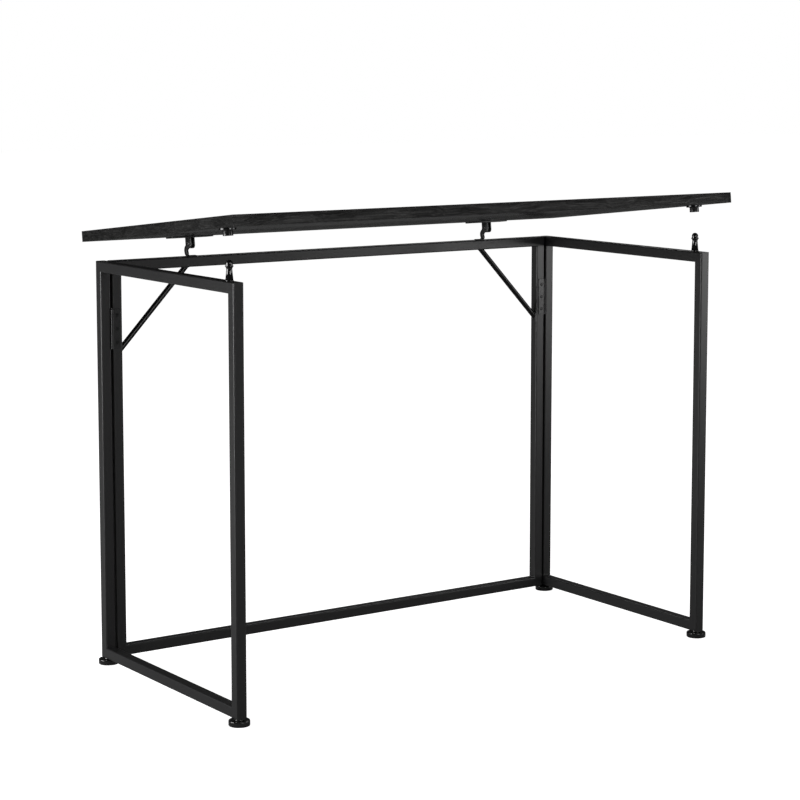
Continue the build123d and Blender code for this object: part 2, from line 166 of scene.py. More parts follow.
def new_group(name: str, inputs: Sequence[tuple[str, str, object]],
              outputs: Sequence[tuple[str, str]]) -> tuple:
    """Start a shader node group.

    Args:
        name: The group's name.
        inputs: Name, socket type and default of each input.
        outputs: Name and socket type of each output.

    Returns:
        The group tree, a Graph on it, its input node and its output node.
    """
    tree = bpy.data.node_groups.new(name, "ShaderNodeTree")
    for label, kind, default in inputs:
        socket = tree.interface.new_socket(label, in_out="INPUT", socket_type=kind)
        if default is not None:
            socket.default_value = default
    for label, kind in outputs:
        tree.interface.new_socket(label, in_out="OUTPUT", socket_type=kind)
    graph = Graph(tree)
    return tree, graph, graph.node("NodeGroupInput"), graph.node("NodeGroupOutput")


class Effects:
    """Shader groups that more than one finish uses, each built once."""

    def __init__(self) -> None:
        """Build every group."""
        self.speckle = self._speckle()
        self.edge_wear = self._edge_wear()
        self.dust = self._dust()
        self.wood_grain = self._wood_grain()

    @staticmethod
    def _speckle() -> NodeTree:
        """Fine mottling of a coated or moulded skin, with its orange-peel height."""
        tree, graph, given, result = new_group(
            "skin_speckle",
            [("Vector", "NodeSocketVector", None), ("Scale", "NodeSocketFloat", 900.0),
             ("Amount", "NodeSocketFloat", 1.0)],
            [("Mask", "NodeSocketFloat"), ("Height", "NodeSocketFloat")],
        )
        fine = graph.noise(given.outputs["Vector"], given.outputs["Scale"], 3.0, 0.6)
        broad = graph.noise(given.outputs["Vector"], 14.0, 3.0, 0.55)
        mixed = graph.math("MULTIPLY_ADD", fine, 0.6, graph.math("MULTIPLY", broad, 0.4))
        tree.links.new(graph.math("MULTIPLY", mixed, given.outputs["Amount"]), result.inputs["Mask"])
        tree.links.new(fine, result.inputs["Height"])
        return tree

    @staticmethod
    def _edge_wear() -> NodeTree:
        """Mask that is strong on outer edges, broken up by noise."""
        tree, graph, given, result = new_group(
            "edge_wear",
            [("Vector", "NodeSocketVector", None), ("Radius", "NodeSocketFloat", 0.0012),
             ("Amount", "NodeSocketFloat", 0.5)],
            [("Mask", "NodeSocketFloat")],
        )
        rounded = graph.node("ShaderNodeBevel", {"Radius": given.outputs["Radius"]}, samples=4)
        true_normal = graph.node("ShaderNodeNewGeometry").outputs["Normal"]
        turn = graph.node("ShaderNodeVectorMath", {0: rounded.outputs[0], 1: true_normal},
                          operation="DOT_PRODUCT")
        edge = graph.span(turn.outputs["Value"], 0.995, 0.85, 0.0, 1.0)
        breakup = graph.span(graph.noise(given.outputs["Vector"], 160.0, 4.0, 0.7), 0.42, 0.68, 0.0, 1.0)
        worn = graph.math("MULTIPLY", graph.math("MULTIPLY", edge, breakup), given.outputs["Amount"])
        tree.links.new(worn, result.inputs["Mask"])
        return tree

    @staticmethod
    def _dust() -> NodeTree:
        """Mask of thin dust that lies on faces turned upwards."""
        tree, graph, given, result = new_group(
            "settled_dust",
            [("Vector", "NodeSocketVector", None), ("Amount", "NodeSocketFloat", 0.2)],
            [("Mask", "NodeSocketFloat")],
        )
        normal = graph.node("ShaderNodeNewGeometry").outputs["Normal"]
        up = graph.node("ShaderNodeSeparateXYZ", {0: normal}).outputs["Z"]
        facing = graph.span(up, 0.5, 1.0, 0.0, 1.0)
        cloud = graph.span(graph.noise(given.outputs["Vector"], 26.0, 6.0, 0.65), 0.35, 0.75, 0.0, 1.0)
        lying = graph.math("MULTIPLY", graph.math("MULTIPLY", facing, cloud), given.outputs["Amount"])
        tree.links.new(lying, result.inputs["Mask"])
        return tree

    @staticmethod
    def _wood_grain() -> NodeTree:
        """Printed and embossed wood grain that runs along the vector's X."""
        tree, graph, given, result = new_group(
            "wood_grain",
            [
                ("Vector", "NodeSocketVector", None),
                ("Fibre Length", "NodeSocketFloat", 0.060),
                ("Fibre Width", "NodeSocketFloat", 0.0016),
                ("Figure Width", "NodeSocketFloat", 0.012),
                ("Figure Bend", "NodeSocketFloat", 1.0),
            ],
            [("Tone", "NodeSocketFloat"), ("Height", "NodeSocketFloat")],
        )
        parts = graph.node("ShaderNodeSeparateXYZ", {0: given.outputs["Vector"]})
        drift = graph.noise(given.outputs["Vector"], 5.5, 3.0, 0.5)
        bend = graph.math("MULTIPLY", graph.math("MULTIPLY", graph.math("SUBTRACT", drift, 0.5), 0.05),
                          given.outputs["Figure Bend"])
        across = graph.math("ADD", parts.outputs["Y"], bend)
        depth = graph.math("ADD", parts.outputs["Z"], bend)

        def stretched(length: object, width: object) -> NodeSocket:
            """Coordinates counted in fibre lengths and widths."""
            along = graph.math("DIVIDE", parts.outputs["X"], length)
            return graph.node("ShaderNodeCombineXYZ", {
                0: along, 1: graph.math("DIVIDE", across, width), 2: graph.math("DIVIDE", depth, width),
            }).outputs[0]

        fibre_space = stretched(given.outputs["Fibre Length"], given.outputs["Fibre Width"])
        fibres = graph.noise(fibre_space, 1.0, 5.0, 0.62)
        broad_length = graph.math("MULTIPLY", given.outputs["Fibre Length"], 4.0)
        figure = graph.noise(stretched(broad_length, given.outputs["Figure Width"]), 1.0, 3.0, 0.5)
        pore_width = graph.math("MULTIPLY", given.outputs["Fibre Width"], 0.45)
        pore_length = graph.math("MULTIPLY", given.outputs["Fibre Length"], 0.35)
        pores = graph.noise(stretched(pore_length, pore_width), 1.0, 2.0, 0.5)
        streak = graph.span(fibres, 0.46, 0.66, 0.0, 1.0)
        cloud = graph.span(figure, 0.34, 0.66, 0.0, 1.0)
        pore = graph.span(pores, 0.30, 0.44, 1.0, 0.0)
        tone = graph.math("MULTIPLY_ADD", streak, 0.62, graph.math("MULTIPLY", cloud, 0.38))
        tone = graph.math("MULTIPLY", tone, graph.math("SUBTRACT", 1.0, graph.math("MULTIPLY", pore, 0.55)))
        tree.links.new(tone, result.inputs["Tone"])
        height = graph.math("SUBTRACT", graph.math("MULTIPLY", streak, 0.7), pore)
        tree.links.new(height, result.inputs["Height"])
        return tree


class Finish:
    """A surface finish that can be built as a material."""

    name: str

    def start(self) -> tuple[Material, Graph, Node, NodeSocket]:
        """Start this finish's material.

        Returns:
            The material, its graph, its Principled node and the Object coordinates socket.
        """
        material = bpy.data.materials.new(self.name)
        material.use_nodes = True
        graph = Graph(material.node_tree)
        principled = material.node_tree.nodes["Principled BSDF"]
        coordinates = graph.node("ShaderNodeTexCoord").outputs["Object"]
        return material, graph, principled, coordinates

    def build(self, effects: Effects) -> Material:
        """Build the material; each finish has its own."""
        raise NotImplementedError


@dataclass(frozen=True)
class Coating(Finish):
    """Black skin: powder coat, moulded plastic or black steel, told apart by its values."""

    name: str
    colour: Colour
    worn_colour: Colour
    roughness: float
    rough_spread: float
    peel_scale: float
    peel_height: float
    wear: float = 0.3
    dust: float = 0.12
    specular: float = 0.5
    metallic: float = 0.0
    coat: float = 0.0
    coat_roughness: float = 0.08
    shade: float = 0.85

    def build(self, effects: Effects) -> Material:
        """Build the coated material.

        Args:
            effects: The shared shader groups.

        Returns:
            The finished material.
        """
        material, graph, principled, coordinates = self.start()
        links = graph.tree.links
        skin = graph.group(effects.speckle, {"Vector": coordinates, "Scale": self.peel_scale})
        worn = graph.group(effects.edge_wear, {"Vector": coordinates, "Amount": self.wear})
        dusty = graph.group(effects.dust, {"Vector": coordinates, "Amount": self.dust})
        darker = tuple(part * self.shade for part in self.colour)
        base = graph.mix(skin.outputs["Mask"], rgba(darker), rgba(self.colour))
        base = graph.mix(worn.outputs["Mask"], base, rgba(self.worn_colour))
        base = graph.mix(dusty.outputs["Mask"], base, rgba(DUST))
        links.new(base, principled.inputs["Base Color"])
        low, high = self.roughness - self.rough_spread, self.roughness + self.rough_spread
        rough = graph.math("ADD", graph.span(skin.outputs["Mask"], 0.3, 0.7, low, high),
                           graph.math("MULTIPLY", dusty.outputs["Mask"], 0.6))
        links.new(rough, principled.inputs["Roughness"])
        bump = graph.node("ShaderNodeBump", {"Height": skin.outputs["Height"], "Distance": self.peel_height})
        bump.inputs["Strength"].default_value = 1.0
        links.new(bump.outputs[0], principled.inputs["Normal"])
        principled.inputs["Metallic"].default_value = self.metallic
        principled.inputs["Specular IOR Level"].default_value = self.specular
        principled.inputs["Coat Weight"].default_value = self.coat
        principled.inputs["Coat Roughness"].default_value = self.coat_roughness
        return material


@dataclass(frozen=True)
class Laminate(Finish):
    """Black wood-grain laminate on a tilted board, its grain along one of the board's directions."""

    name: str
    dark: Colour
    light: Colour
    tilt: float
    turn: float = 0.0
    fibre_length: float = 0.060
    fibre_width: float = 0.0016
    figure_width: float = 0.012
    figure_bend: float = 1.0
    emboss: float = 0.00016
    roughness: float = 0.5
    specular: float = 0.4

    def build(self, effects: Effects) -> Material:
        """Build the wood-grain material.

        Args:
            effects: The shared shader groups.

        Returns:
            The finished material.
        """
        material, graph, principled, coordinates = self.start()
        links = graph.tree.links
        level = graph.node("ShaderNodeMapping", {"Vector": coordinates, "Rotation": (self.tilt, 0.0, 0.0)})
        turned = graph.node("ShaderNodeMapping", {
            "Vector": level.outputs[0], "Rotation": (0.0, 0.0, self.turn),
        })
        grain = graph.group(effects.wood_grain, {
            "Vector": turned.outputs[0], "Fibre Length": self.fibre_length, "Fibre Width": self.fibre_width,
            "Figure Width": self.figure_width, "Figure Bend": self.figure_bend,
        })
        worn = graph.group(effects.edge_wear, {"Vector": coordinates, "Radius": 0.0008, "Amount": 0.12})
        dusty = graph.group(effects.dust, {"Vector": coordinates, "Amount": 0.05})
        base = graph.mix(grain.outputs["Tone"], rgba(self.dark), rgba(self.light))
        base = graph.mix(worn.outputs["Mask"], base, rgba((0.12, 0.12, 0.12)))
        base = graph.mix(dusty.outputs["Mask"], base, rgba(DUST))
        links.new(base, principled.inputs["Base Color"])
        rough = graph.span(grain.outputs["Tone"], 0.0, 1.0, self.roughness + 0.08, self.roughness - 0.08)
        links.new(rough, principled.inputs["Roughness"])
        bump = graph.node("ShaderNodeBump", {"Height": grain.outputs["Height"], "Distance": self.emboss})
        links.new(bump.outputs[0], principled.inputs["Normal"])
        principled.inputs["Specular IOR Level"].default_value = self.specular
        return material


@dataclass(frozen=True)
class ZincPlate(Finish):
    """Bright zinc on threads, with fine turned lines and cloudy tarnish."""

    name: str = "zinc_plate"
    colour: Colour = (0.52, 0.53, 0.55)
    tarnish: Colour = (0.24, 0.22, 0.19)

    def build(self, effects: Effects) -> Material:
        """Build the plated metal.

        Args:
            effects: The shared shader groups.

        Returns:
            The finished material.
        """
        material, graph, principled, coordinates = self.start()
        links = graph.tree.links
        skin = graph.group(effects.speckle, {"Vector": coordinates, "Scale": 1400.0})
        plated = graph.mix(skin.outputs["Mask"], rgba(self.tarnish), rgba(self.colour))
        links.new(plated, principled.inputs["Base Color"])
        links.new(graph.span(skin.outputs["Mask"], 0.2, 0.8, 0.46, 0.26), principled.inputs["Roughness"])
        bump = graph.node("ShaderNodeBump", {"Height": skin.outputs["Height"], "Distance": 0.00002})
        links.new(bump.outputs[0], principled.inputs["Normal"])
        principled.inputs["Metallic"].default_value = 1.0
        return material


class Finishes:
    """Every finish of the desk, built once."""

    def __init__(self, tilt: float) -> None:
        """Build the materials.

        Args:
            tilt: The board's tilt at rest, in radians.
        """
        effects = Effects()
        quarter = math.pi / 2
        self.powder_coat = Coating(
            "black_powder_coat", (0.021, 0.021, 0.0215), (0.05, 0.05, 0.052), 0.30, 0.02, 620.0, 0.000006,
            wear=0.04, dust=0.0, specular=0.5,
        ).build(effects)
        self.hinge_steel = Coating(
            "black_hinge_steel", (0.021, 0.021, 0.0215), (0.10, 0.10, 0.104), 0.27, 0.02, 1500.0, 0.000006,
            wear=0.35, dust=0.0, specular=0.5,
        ).build(effects)
        self.screw_steel = Coating(
            "black_oxide_screws", (0.028, 0.028, 0.029), (0.25, 0.25, 0.26), 0.20, 0.04, 2600.0, 0.000006,
            wear=0.6, dust=0.0, specular=0.7, metallic=0.35,
        ).build(effects)
        self.stud_gloss = Coating(
            "gloss_black_studs", (0.009, 0.009, 0.0092), (0.04, 0.04, 0.04), 0.11, 0.01, 900.0, 0.000001,
            wear=0.0, dust=0.0, coat=0.3,
        ).build(effects)
        # Braces: a darker, less reflective copy of the frame's powder coat, so these welded-in bars read
        # near-black; the darkness is painted shade.
        self.brace_coat_painted_shade = Coating(
            "dark_braces_painted_shade", (0.006, 0.006, 0.0062), (0.03, 0.03, 0.03), 0.22, 0.02, 620.0, 0.000004,
            wear=0.0, dust=0.0, specular=0.3,
        ).build(effects)
        self.foot_plastic = Coating(
            "gloss_black_feet", (0.008, 0.008, 0.0082), (0.05, 0.05, 0.05), 0.12, 0.02, 1100.0, 0.000006,
            wear=0.1, dust=0.0, coat=0.8,
        ).build(effects)
        self.socket_plastic = Coating(
            "black_sockets", (0.009, 0.009, 0.0092), (0.04, 0.04, 0.04), 0.20, 0.03, 1200.0, 0.00001,
            wear=0.2, dust=0.0,
        ).build(effects)
        self.zinc = ZincPlate().build(effects)
        self.edge_long = Laminate(
            "edge_grain_long", (0.0035, 0.0034, 0.0033), (0.088, 0.0872, 0.086), tilt, fibre_length=0.080,
            fibre_width=0.0021, figure_width=0.010, specular=0.22,
        ).build(effects)
        # Side edge bands: a darker, less shiny copy of the front and back banding, which is painted shade
        # against the strong left lamp; the more bent grain figure is the band's own.
        self.edge_side_painted_shade = Laminate(
            "edge_grain_side_painted_shade", (0.0022, 0.0022, 0.0021), (0.034, 0.0336, 0.0332), tilt, turn=quarter,
            fibre_length=0.060, fibre_width=0.0019, figure_width=0.010, figure_bend=2.4, roughness=0.56,
            specular=0.08,
        ).build(effects)
        self.top_face = Laminate(
            "top_grain", (0.006, 0.0059, 0.0058), (0.045, 0.0445, 0.044), tilt, fibre_length=0.110,
            fibre_width=0.0021, figure_width=0.016, figure_bend=1.4, roughness=0.46,
        ).build(effects)
        self.under_face = Coating(
            "underside_laminate", (0.005, 0.005, 0.005), (0.02, 0.02, 0.02), 0.26, 0.03, 700.0, 0.00001,
            wear=0.05, dust=0.0, specular=0.2,
        ).build(effects)


# --------------------------------------------------------------------------- mesh helpers


def object_from(name: str, mesh: Mesh) -> Object:
    """Link a new object that holds the mesh, at the origin."""
    piece = bpy.data.objects.new(name, mesh)
    bpy.context.scene.collection.objects.link(piece)
    return piece


def mesh_from(name: str, build: BMesh, material: Material, smooth: bool = True) -> Mesh:
    """Write a bmesh out as a mesh of one material.

    Args:
        name: The mesh's name.
        build: The geometry, which is freed.
        material: The only material.
        smooth: Whether faces shade smoothly.

    Returns:
        The new mesh.
    """
    mesh = bpy.data.meshes.new(name)
    for face in build.faces:
        face.smooth = smooth
    build.to_mesh(mesh)
    build.free()
    mesh.materials.append(material)
    return mesh


def sharpen(mesh: Mesh, degrees: float = 35.0) -> None:
    """Shade a mesh smoothly, but keep edges sharper than an angle crisp, and face it outwards.

    Args:
        mesh: The mesh to work on.
        degrees: The angle between faces from which an edge stays crisp.
    """
    build = bmesh.new()
    build.from_mesh(mesh)
    bmesh.ops.recalc_face_normals(build, faces=build.faces)
    limit = math.radians(degrees)
    for edge in build.edges:
        edge.smooth = len(edge.link_faces) == 2 and edge.calc_face_angle(0.0) < limit
    for face in build.faces:
        face.smooth = True
    build.to_mesh(mesh)
    build.free()


def finish_piece(piece: Object, body: str, replaces: Sequence[str] = ()) -> Object:
    """Set a piece on its body and report it.

    Args:
        piece: The finished piece.
        body: The CAD body it moves with.
        replaces: CAD nodes that it stands for.

    Returns:
        The same piece.
    """
    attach(piece, body)
    if replaces:
        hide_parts(*replaces)
    log.info("%s on %s, %d faces", piece.name, body, len(piece.data.polygons))
    return piece


def dress(node: str, material: Material) -> None:
    """Give a CAD node that stays visible its material.

    Args:
        node: The CAD node's name.
        material: The finish for all of it.
    """
    shown = frame["nodes"][node]
    shown.data.materials.clear()
    shown.data.materials.append(material)
    log.info("dressed %s", node)


def skin(rings: Sequence[Sequence[Vector]], closed: bool = False) -> BMesh:
    """Join rings of points into a skin; a ring of one point is a pole.

    Args:
        rings: Points of each ring, the same number in all but the poles.
        closed: Whether the last ring joins the first, as round a hollow cup.

    Returns:
        The skin, facing outwards.
    """
    build = bmesh.new()
    made = [[build.verts.new(point) for point in ring] for ring in rings]
    pairs = list(zip(made, made[1:])) + ([(made[-1], made[0])] if closed else [])
    count = max(len(ring) for ring in rings)
    for lower, upper in pairs:
        for index in range(count):
            after = (index + 1) % count
            corners = [lower[index % len(lower)], lower[after % len(lower)],
                       upper[after % len(upper)], upper[index % len(upper)]]
            build.faces.new(list(dict.fromkeys(corners)))
    bmesh.ops.recalc_face_normals(build, faces=build.faces)
    return build


def lathe(profile: Outline, closed: bool = False, segments: int = 64) -> BMesh:
    """Turn a profile about Z.

    Args:
        profile: Radius and height of each point; a radius of zero is a pole.
        closed: Whether the profile's last point joins its first.
        segments: Steps round the turn.

    Returns:
        The turned skin.
    """
    turn = [2 * math.pi * index / segments for index in range(segments)]
    rings = []
    for radius, height in profile:
        spokes = turn if radius > 0.0 else turn[:1]
        rings.append([Vector((radius * math.cos(a), radius * math.sin(a), height)) for a in spokes])
    return skin(rings, closed)


def arc(centre: tuple[float, float], radius: float, start: float, end: float,
        steps: int) -> list[tuple[float, float]]:
    """Points of an arc in the profile plane.

    Args:
        centre: Radius and height of the arc's centre.
        radius: The arc's radius.
        start: First angle in degrees, from the outward direction.
        end: Last angle in degrees.
        steps: Number of steps.

    Returns:
        The points, both ends included.
    """
    points = []
    for index in range(steps + 1):
        angle = math.radians(start + (end - start) * index / steps)
        points.append((centre[0] + radius * math.cos(angle), centre[1] + radius * math.sin(angle)))
    return points


def rounded_box(size: Vector, radius: float, segments: int = 4) -> BMesh:
    """A box about the origin with every edge rounded over.

    Args:
        size: Full size along X, Y and Z.
        radius: Radius of the rounding.
        segments: Steps of each rounding.

    Returns:
        The rounded box.
    """
    build = bmesh.new()
    bmesh.ops.create_cube(build, size=1.0)
    bmesh.ops.scale(build, vec=size, verts=build.verts)
    bmesh.ops.bevel(build, geom=list(build.edges), offset=radius, segments=segments, profile=0.5,
                    affect="EDGES")
    return build


# --------------------------------------------------------------------------- geometry trees


class GeometryTree:
    """A geometry node tree with named inputs that can be run on a starting mesh."""

    def __init__(self, name: str, inputs: Sequence[tuple[str, str, object]]) -> None:
        """Start the tree.

        Args:
            name: The tree's name.
            inputs: Name, socket type and default of each input after the geometry.
        """
        self.tree = bpy.data.node_groups.new(name, "GeometryNodeTree")
        face = self.tree.interface
        face.new_socket("Geometry", in_out="INPUT", socket_type="NodeSocketGeometry")
        face.new_socket("Geometry", in_out="OUTPUT", socket_type="NodeSocketGeometry")
        self.identifiers: dict[str, str] = {}
        for label, kind, default in inputs:
            socket = face.new_socket(label, in_out="INPUT", socket_type=kind)
            if default is not None:
                socket.default_value = default
            self.identifiers[label] = socket.identifier
        self.graph = Graph(self.tree)
        self.given = self.graph.node("NodeGroupInput").outputs
        self.result = self.graph.node("NodeGroupOutput")

    def close(self, geometry: NodeSocket) -> None:
        """End the tree in Realize Instances and Set Material.

        Args:
            geometry: The geometry to hand out.
        """
        real = self.graph.node("GeometryNodeRealizeInstances", {0: geometry})
        painted = self.graph.node("GeometryNodeSetMaterial", {
            0: real.outputs[0], "Material": self.given["Material"],
        })
        self.tree.links.new(painted.outputs[0], self.result.inputs[0])

    def run(self, name: str, start: Mesh, values: dict) -> Object:
        """Run the tree on a mesh and keep the result as a plain mesh object.

        Args:
            name: Name of the new piece.
            start: The mesh that the tree starts from.
            values: Input name to value.

        Returns:
            The new object, at the origin, with no modifier.
        """
        holder = object_from(name + "_maker", start)
        modifier = holder.modifiers.new("maker", "NODES")
        modifier.node_group = self.tree
        for label, value in values.items():
            modifier[self.identifiers[label]] = value
        bpy.context.view_layer.update()
        evaluated = holder.evaluated_get(bpy.context.evaluated_depsgraph_get())
        mesh = bpy.data.meshes.new_from_object(evaluated)
        mesh.name = name
        holder.modifiers.remove(modifier)
        bpy.data.objects.remove(holder)
        return object_from(name, mesh)


def tube_tree() -> GeometryTree:
    """Rounded square tube along Z, mitred so that its short side faces +Y.

    Returns:
        The tree, with inputs Length, Side, Corner Radius and Material.
    """
    made = GeometryTree("mitred_tube", [
        ("Length", "NodeSocketFloat", 0.5), ("Side", "NodeSocketFloat", 0.018),
        ("Corner Radius", "NodeSocketFloat", 0.002), ("Material", "NodeSocketMaterial", None),
    ])
    graph, given = made.graph, made.given
    square = graph.node("GeometryNodeCurvePrimitiveQuadrilateral", {
        "Width": given["Side"], "Height": given["Side"],
    })
    rounded = graph.node("GeometryNodeFilletCurve", {"Curve": square.outputs[0],
                                                     "Radius": given["Corner Radius"],
                                                     "Count": 6}, mode="POLY")
    end = graph.node("ShaderNodeCombineXYZ", {"Z": given["Length"]})
    path = graph.node("GeometryNodeCurvePrimitiveLine", {"Start": (0.0, 0.0, 0.0), "End": end.outputs[0]})
    swept = graph.node("GeometryNodeCurveToMesh", {"Curve": path.outputs[0],
                                                   "Profile Curve": rounded.outputs[0],
                                                   "Fill Caps": True})
    place = graph.node("ShaderNodeSeparateXYZ", {0: graph.node("GeometryNodeInputPosition").outputs[0]})
    inset = graph.math("ADD", place.outputs["Y"], graph.math("MULTIPLY", given["Side"], 0.5))
    first_half = graph.math("LESS_THAN", place.outputs["Z"], graph.math("MULTIPLY", given["Length"], 0.5))
    sign = graph.math("SUBTRACT", graph.math("MULTIPLY", first_half, 2.0), 1.0)
    shift = graph.node("ShaderNodeCombineXYZ", {"Z": graph.math("MULTIPLY", inset, sign)})
    mitred = graph.node("GeometryNodeSetPosition", {0: swept.outputs[0], "Offset": shift.outputs[0]})
    area = graph.node("GeometryNodeInputMeshFaceArea").outputs[0]
    flat_area = graph.math("MULTIPLY", graph.math("MULTIPLY", given["Length"], given["Side"]), 0.4)
    narrow = graph.math("LESS_THAN", area, flat_area)
    smooth = graph.node("GeometryNodeSetShadeSmooth", {0: mitred.outputs[0], "Shade Smooth": narrow})
    made.close(smooth.outputs[0])
    return made


def bead_tree() -> GeometryTree:
    """Weld bead: overlapping squashed drops along the edges of the starting mesh.

    Returns:
        The tree, with inputs Pitch, Radius, Seed and Material.
    """
    made = GeometryTree("weld_bead", [
        ("Pitch", "NodeSocketFloat", 0.0013), ("Radius", "NodeSocketFloat", 0.0016),
        ("Seed", "NodeSocketInt", 3), ("Material", "NodeSocketMaterial", None),
    ])
    graph, given = made.graph, made.given
    curve = graph.node("GeometryNodeMeshToCurve", {0: given["Geometry"]})
    points = graph.node("GeometryNodeCurveToPoints", {0: curve.outputs[0], "Length": given["Pitch"]},
                        mode="LENGTH")
    drop = graph.node("GeometryNodeMeshUVSphere", {"Segments": 12, "Rings": 7, "Radius": given["Radius"]})
    size = graph.node("FunctionNodeRandomValue", {2: 0.86, 3: 1.08, "Seed": given["Seed"]}, data_type="FLOAT")
    placed = graph.node("GeometryNodeInstanceOnPoints", {
        0: points.outputs[0], "Instance": drop.outputs[0], "Rotation": points.outputs["Rotation"],
        "Scale": graph.node("ShaderNodeCombineXYZ", {
            0: size.outputs[1], 1: size.outputs[1], 2: 0.8,
        }).outputs[0],
    })
    real = graph.node("GeometryNodeRealizeInstances", {0: placed.outputs[0]})
    smooth = graph.node("GeometryNodeSetShadeSmooth", {0: real.outputs[0], "Shade Smooth": True})
    made.close(smooth.outputs[0])
    return made


def screw_tree() -> GeometryTree:
    """Screws on the starting mesh's points, each turned by its own random angle.

    The points carry their outward direction in the attribute "facing".

    Returns:
        The tree, with inputs Screw, Seed and Material.
    """
    made = GeometryTree("screws_on_points", [
        ("Screw", "NodeSocketObject", None), ("Seed", "NodeSocketInt", 1),
        ("Material", "NodeSocketMaterial", None),
    ])
    graph, given = made.graph, made.given
    screw = graph.node("GeometryNodeObjectInfo", {0: given["Screw"]})
    facing = graph.node("GeometryNodeInputNamedAttribute", {"Name": "facing"}, data_type="FLOAT_VECTOR")
    aim = graph.node("FunctionNodeAlignRotationToVector", {"Vector": facing.outputs[0]}, axis="Z")
    angle = graph.node("FunctionNodeRandomValue", {2: 0.0, 3: math.tau, "Seed": given["Seed"]},
                       data_type="FLOAT")
    turn = graph.node("FunctionNodeAxisAngleToRotation", {"Axis": (0.0, 0.0, 1.0), "Angle": angle.outputs[1]})
    both = graph.node("FunctionNodeRotateRotation", {0: aim.outputs[0], 1: turn.outputs[0]},
                      rotation_space="LOCAL")
    placed = graph.node("GeometryNodeInstanceOnPoints", {
        0: given["Geometry"], "Instance": screw.outputs["Geometry"], "Rotation": both.outputs[0],
    })
    made.close(placed.outputs[0])
    return made


def thread_tree() -> GeometryTree:
    """Screw thread: a V-shaped ridge swept along a helix about Z.

    Returns:
        The tree, with inputs Radius, Pitch, Turns, Depth and Material.
    """
    made = GeometryTree("screw_thread", [
        ("Radius", "NodeSocketFloat", 0.003), ("Pitch", "NodeSocketFloat", 0.001),
        ("Turns", "NodeSocketFloat", 30.0),
        ("Depth", "NodeSocketFloat", 0.0005), ("Material", "NodeSocketMaterial", None),
    ])
    graph, given = made.graph, made.given
    core = graph.math("SUBTRACT", given["Radius"], given["Depth"])
    helix = graph.node("GeometryNodeCurveSpiral", {
        "Resolution": 24, "Rotations": given["Turns"], "Start Radius": core, "End Radius": core,
        "Height": graph.math("MULTIPLY", given["Turns"], given["Pitch"]),
    })
    upright = graph.node("GeometryNodeSetCurveNormal", {0: helix.outputs[0]}, mode="Z_UP")
    ridge = graph.node("GeometryNodeCurvePrimitiveCircle", {"Resolution": 3, "Radius": given["Depth"]},
                       mode="RADIUS")
    swept = graph.node("GeometryNodeCurveToMesh", {
        0: upright.outputs[0], 1: ridge.outputs[0], "Fill Caps": True,
    })
    made.close(swept.outputs[0])
    return made


class Makers:
    """The geometry trees of the desk, built once."""

    def __init__(self) -> None:
        """Build every tree."""
        self.tube = tube_tree()
        self.bead = bead_tree()
        self.screws = screw_tree()
        self.thread = thread_tree()


# --------------------------------------------------------------------------- sub-assemblies


@dataclass
class Shop:
    """What every sub-assembly is made with."""

    finishes: Finishes
    makers: Makers
    screws: dict[tuple[float, float], Object] = field(default_factory=dict)

    def screw(self, radius: float, length: float) -> Object:
        """The pattern screw of one size, made the first time it is asked for.

        Args:
            radius: Radius of the head.
            length: Length from the head's face to the point.

        Returns:
            A hidden object for the screw tree to place.
        """
        key = (radius, length)
        if key not in self.screws:
            pattern = CountersunkScrew(radius, length).pattern(self.finishes.screw_steel)
            self.screws[key] = pattern
        return self.screws[key]

    def clear(self) -> None:
        """Remove the pattern screws once all are placed."""
        for pattern in self.screws.values():
            bpy.data.objects.remove(pattern)
        self.screws.clear()


@dataclass
class CountersunkScrew:
    """Flat-headed screw with a cross recess, its head's face at the origin and facing +Z."""

    head_radius: float
    length: float
    rim: float = 0.15 * MM
    arm_length: float = 0.58
    arm_width: float = 0.17
    recess_depth: float = 0.42

    def cross(self, scale: float, height: float) -> list[Vector]:
        """One outline of the recess.

        Args:
            scale: Size of the cross, 1 at the head's face.
            height: Height of the outline.

        Returns:
            The outline's points, one for each of the recess angles.
        """
        long, half = self.arm_length * self.head_radius * scale, self.arm_width * self.head_radius * scale
        points = []
        for angle in self.angles():
            near = min(angle % (math.pi / 2), math.pi / 2 - angle % (math.pi / 2))
            reach = long / math.cos(near) if math.tan(near) <= half / long + 1e-9 else half / math.sin(near)
            points.append(Vector((reach * math.cos(angle), reach * math.sin(angle), height)))
        return points

    def angles(self) -> list[float]:
        """Angles of the head's points, with one on each corner of the recess."""
        arm = math.atan2(self.arm_width, self.arm_length)
        eighth = math.pi / 4
        steps = [0.0, arm, (arm + eighth) / 2, eighth, 2 * eighth - (arm + eighth) / 2, 2 * eighth - arm]
        return [quarter * 2 * eighth + step for quarter in range(4) for step in steps]

    def pattern(self, material: Material) -> Object:
        """Make the screw as a hidden object.

        Args:
            material: Finish of the screw.

        Returns:
            The pattern object at the origin.
        """
        radius = self.head_radius
        shank = 0.55 * radius

        def ring(size: float, height: float) -> list[Vector]:
            """A circle of points at the recess angles."""
            return [Vector((size * math.cos(a), size * math.sin(a), height)) for a in self.angles()]

        depth = self.recess_depth * radius
        rings = [
            [Vector((0.0, 0.0, -self.length))],
            ring(shank, -self.length + 2 * shank), ring(shank, shank - radius),
            ring(radius, -self.rim), ring(radius - self.rim, 0.0),
            self.cross(1.0, 0.0), self.cross(0.72, -depth),
            [Vector((0.0, 0.0, -1.15 * depth))],
        ]
        mesh = mesh_from("screw_pattern", skin(rings), material)
        sharpen(mesh)
        pattern = object_from("screw_pattern", mesh)
        pattern.hide_render = True
        return pattern


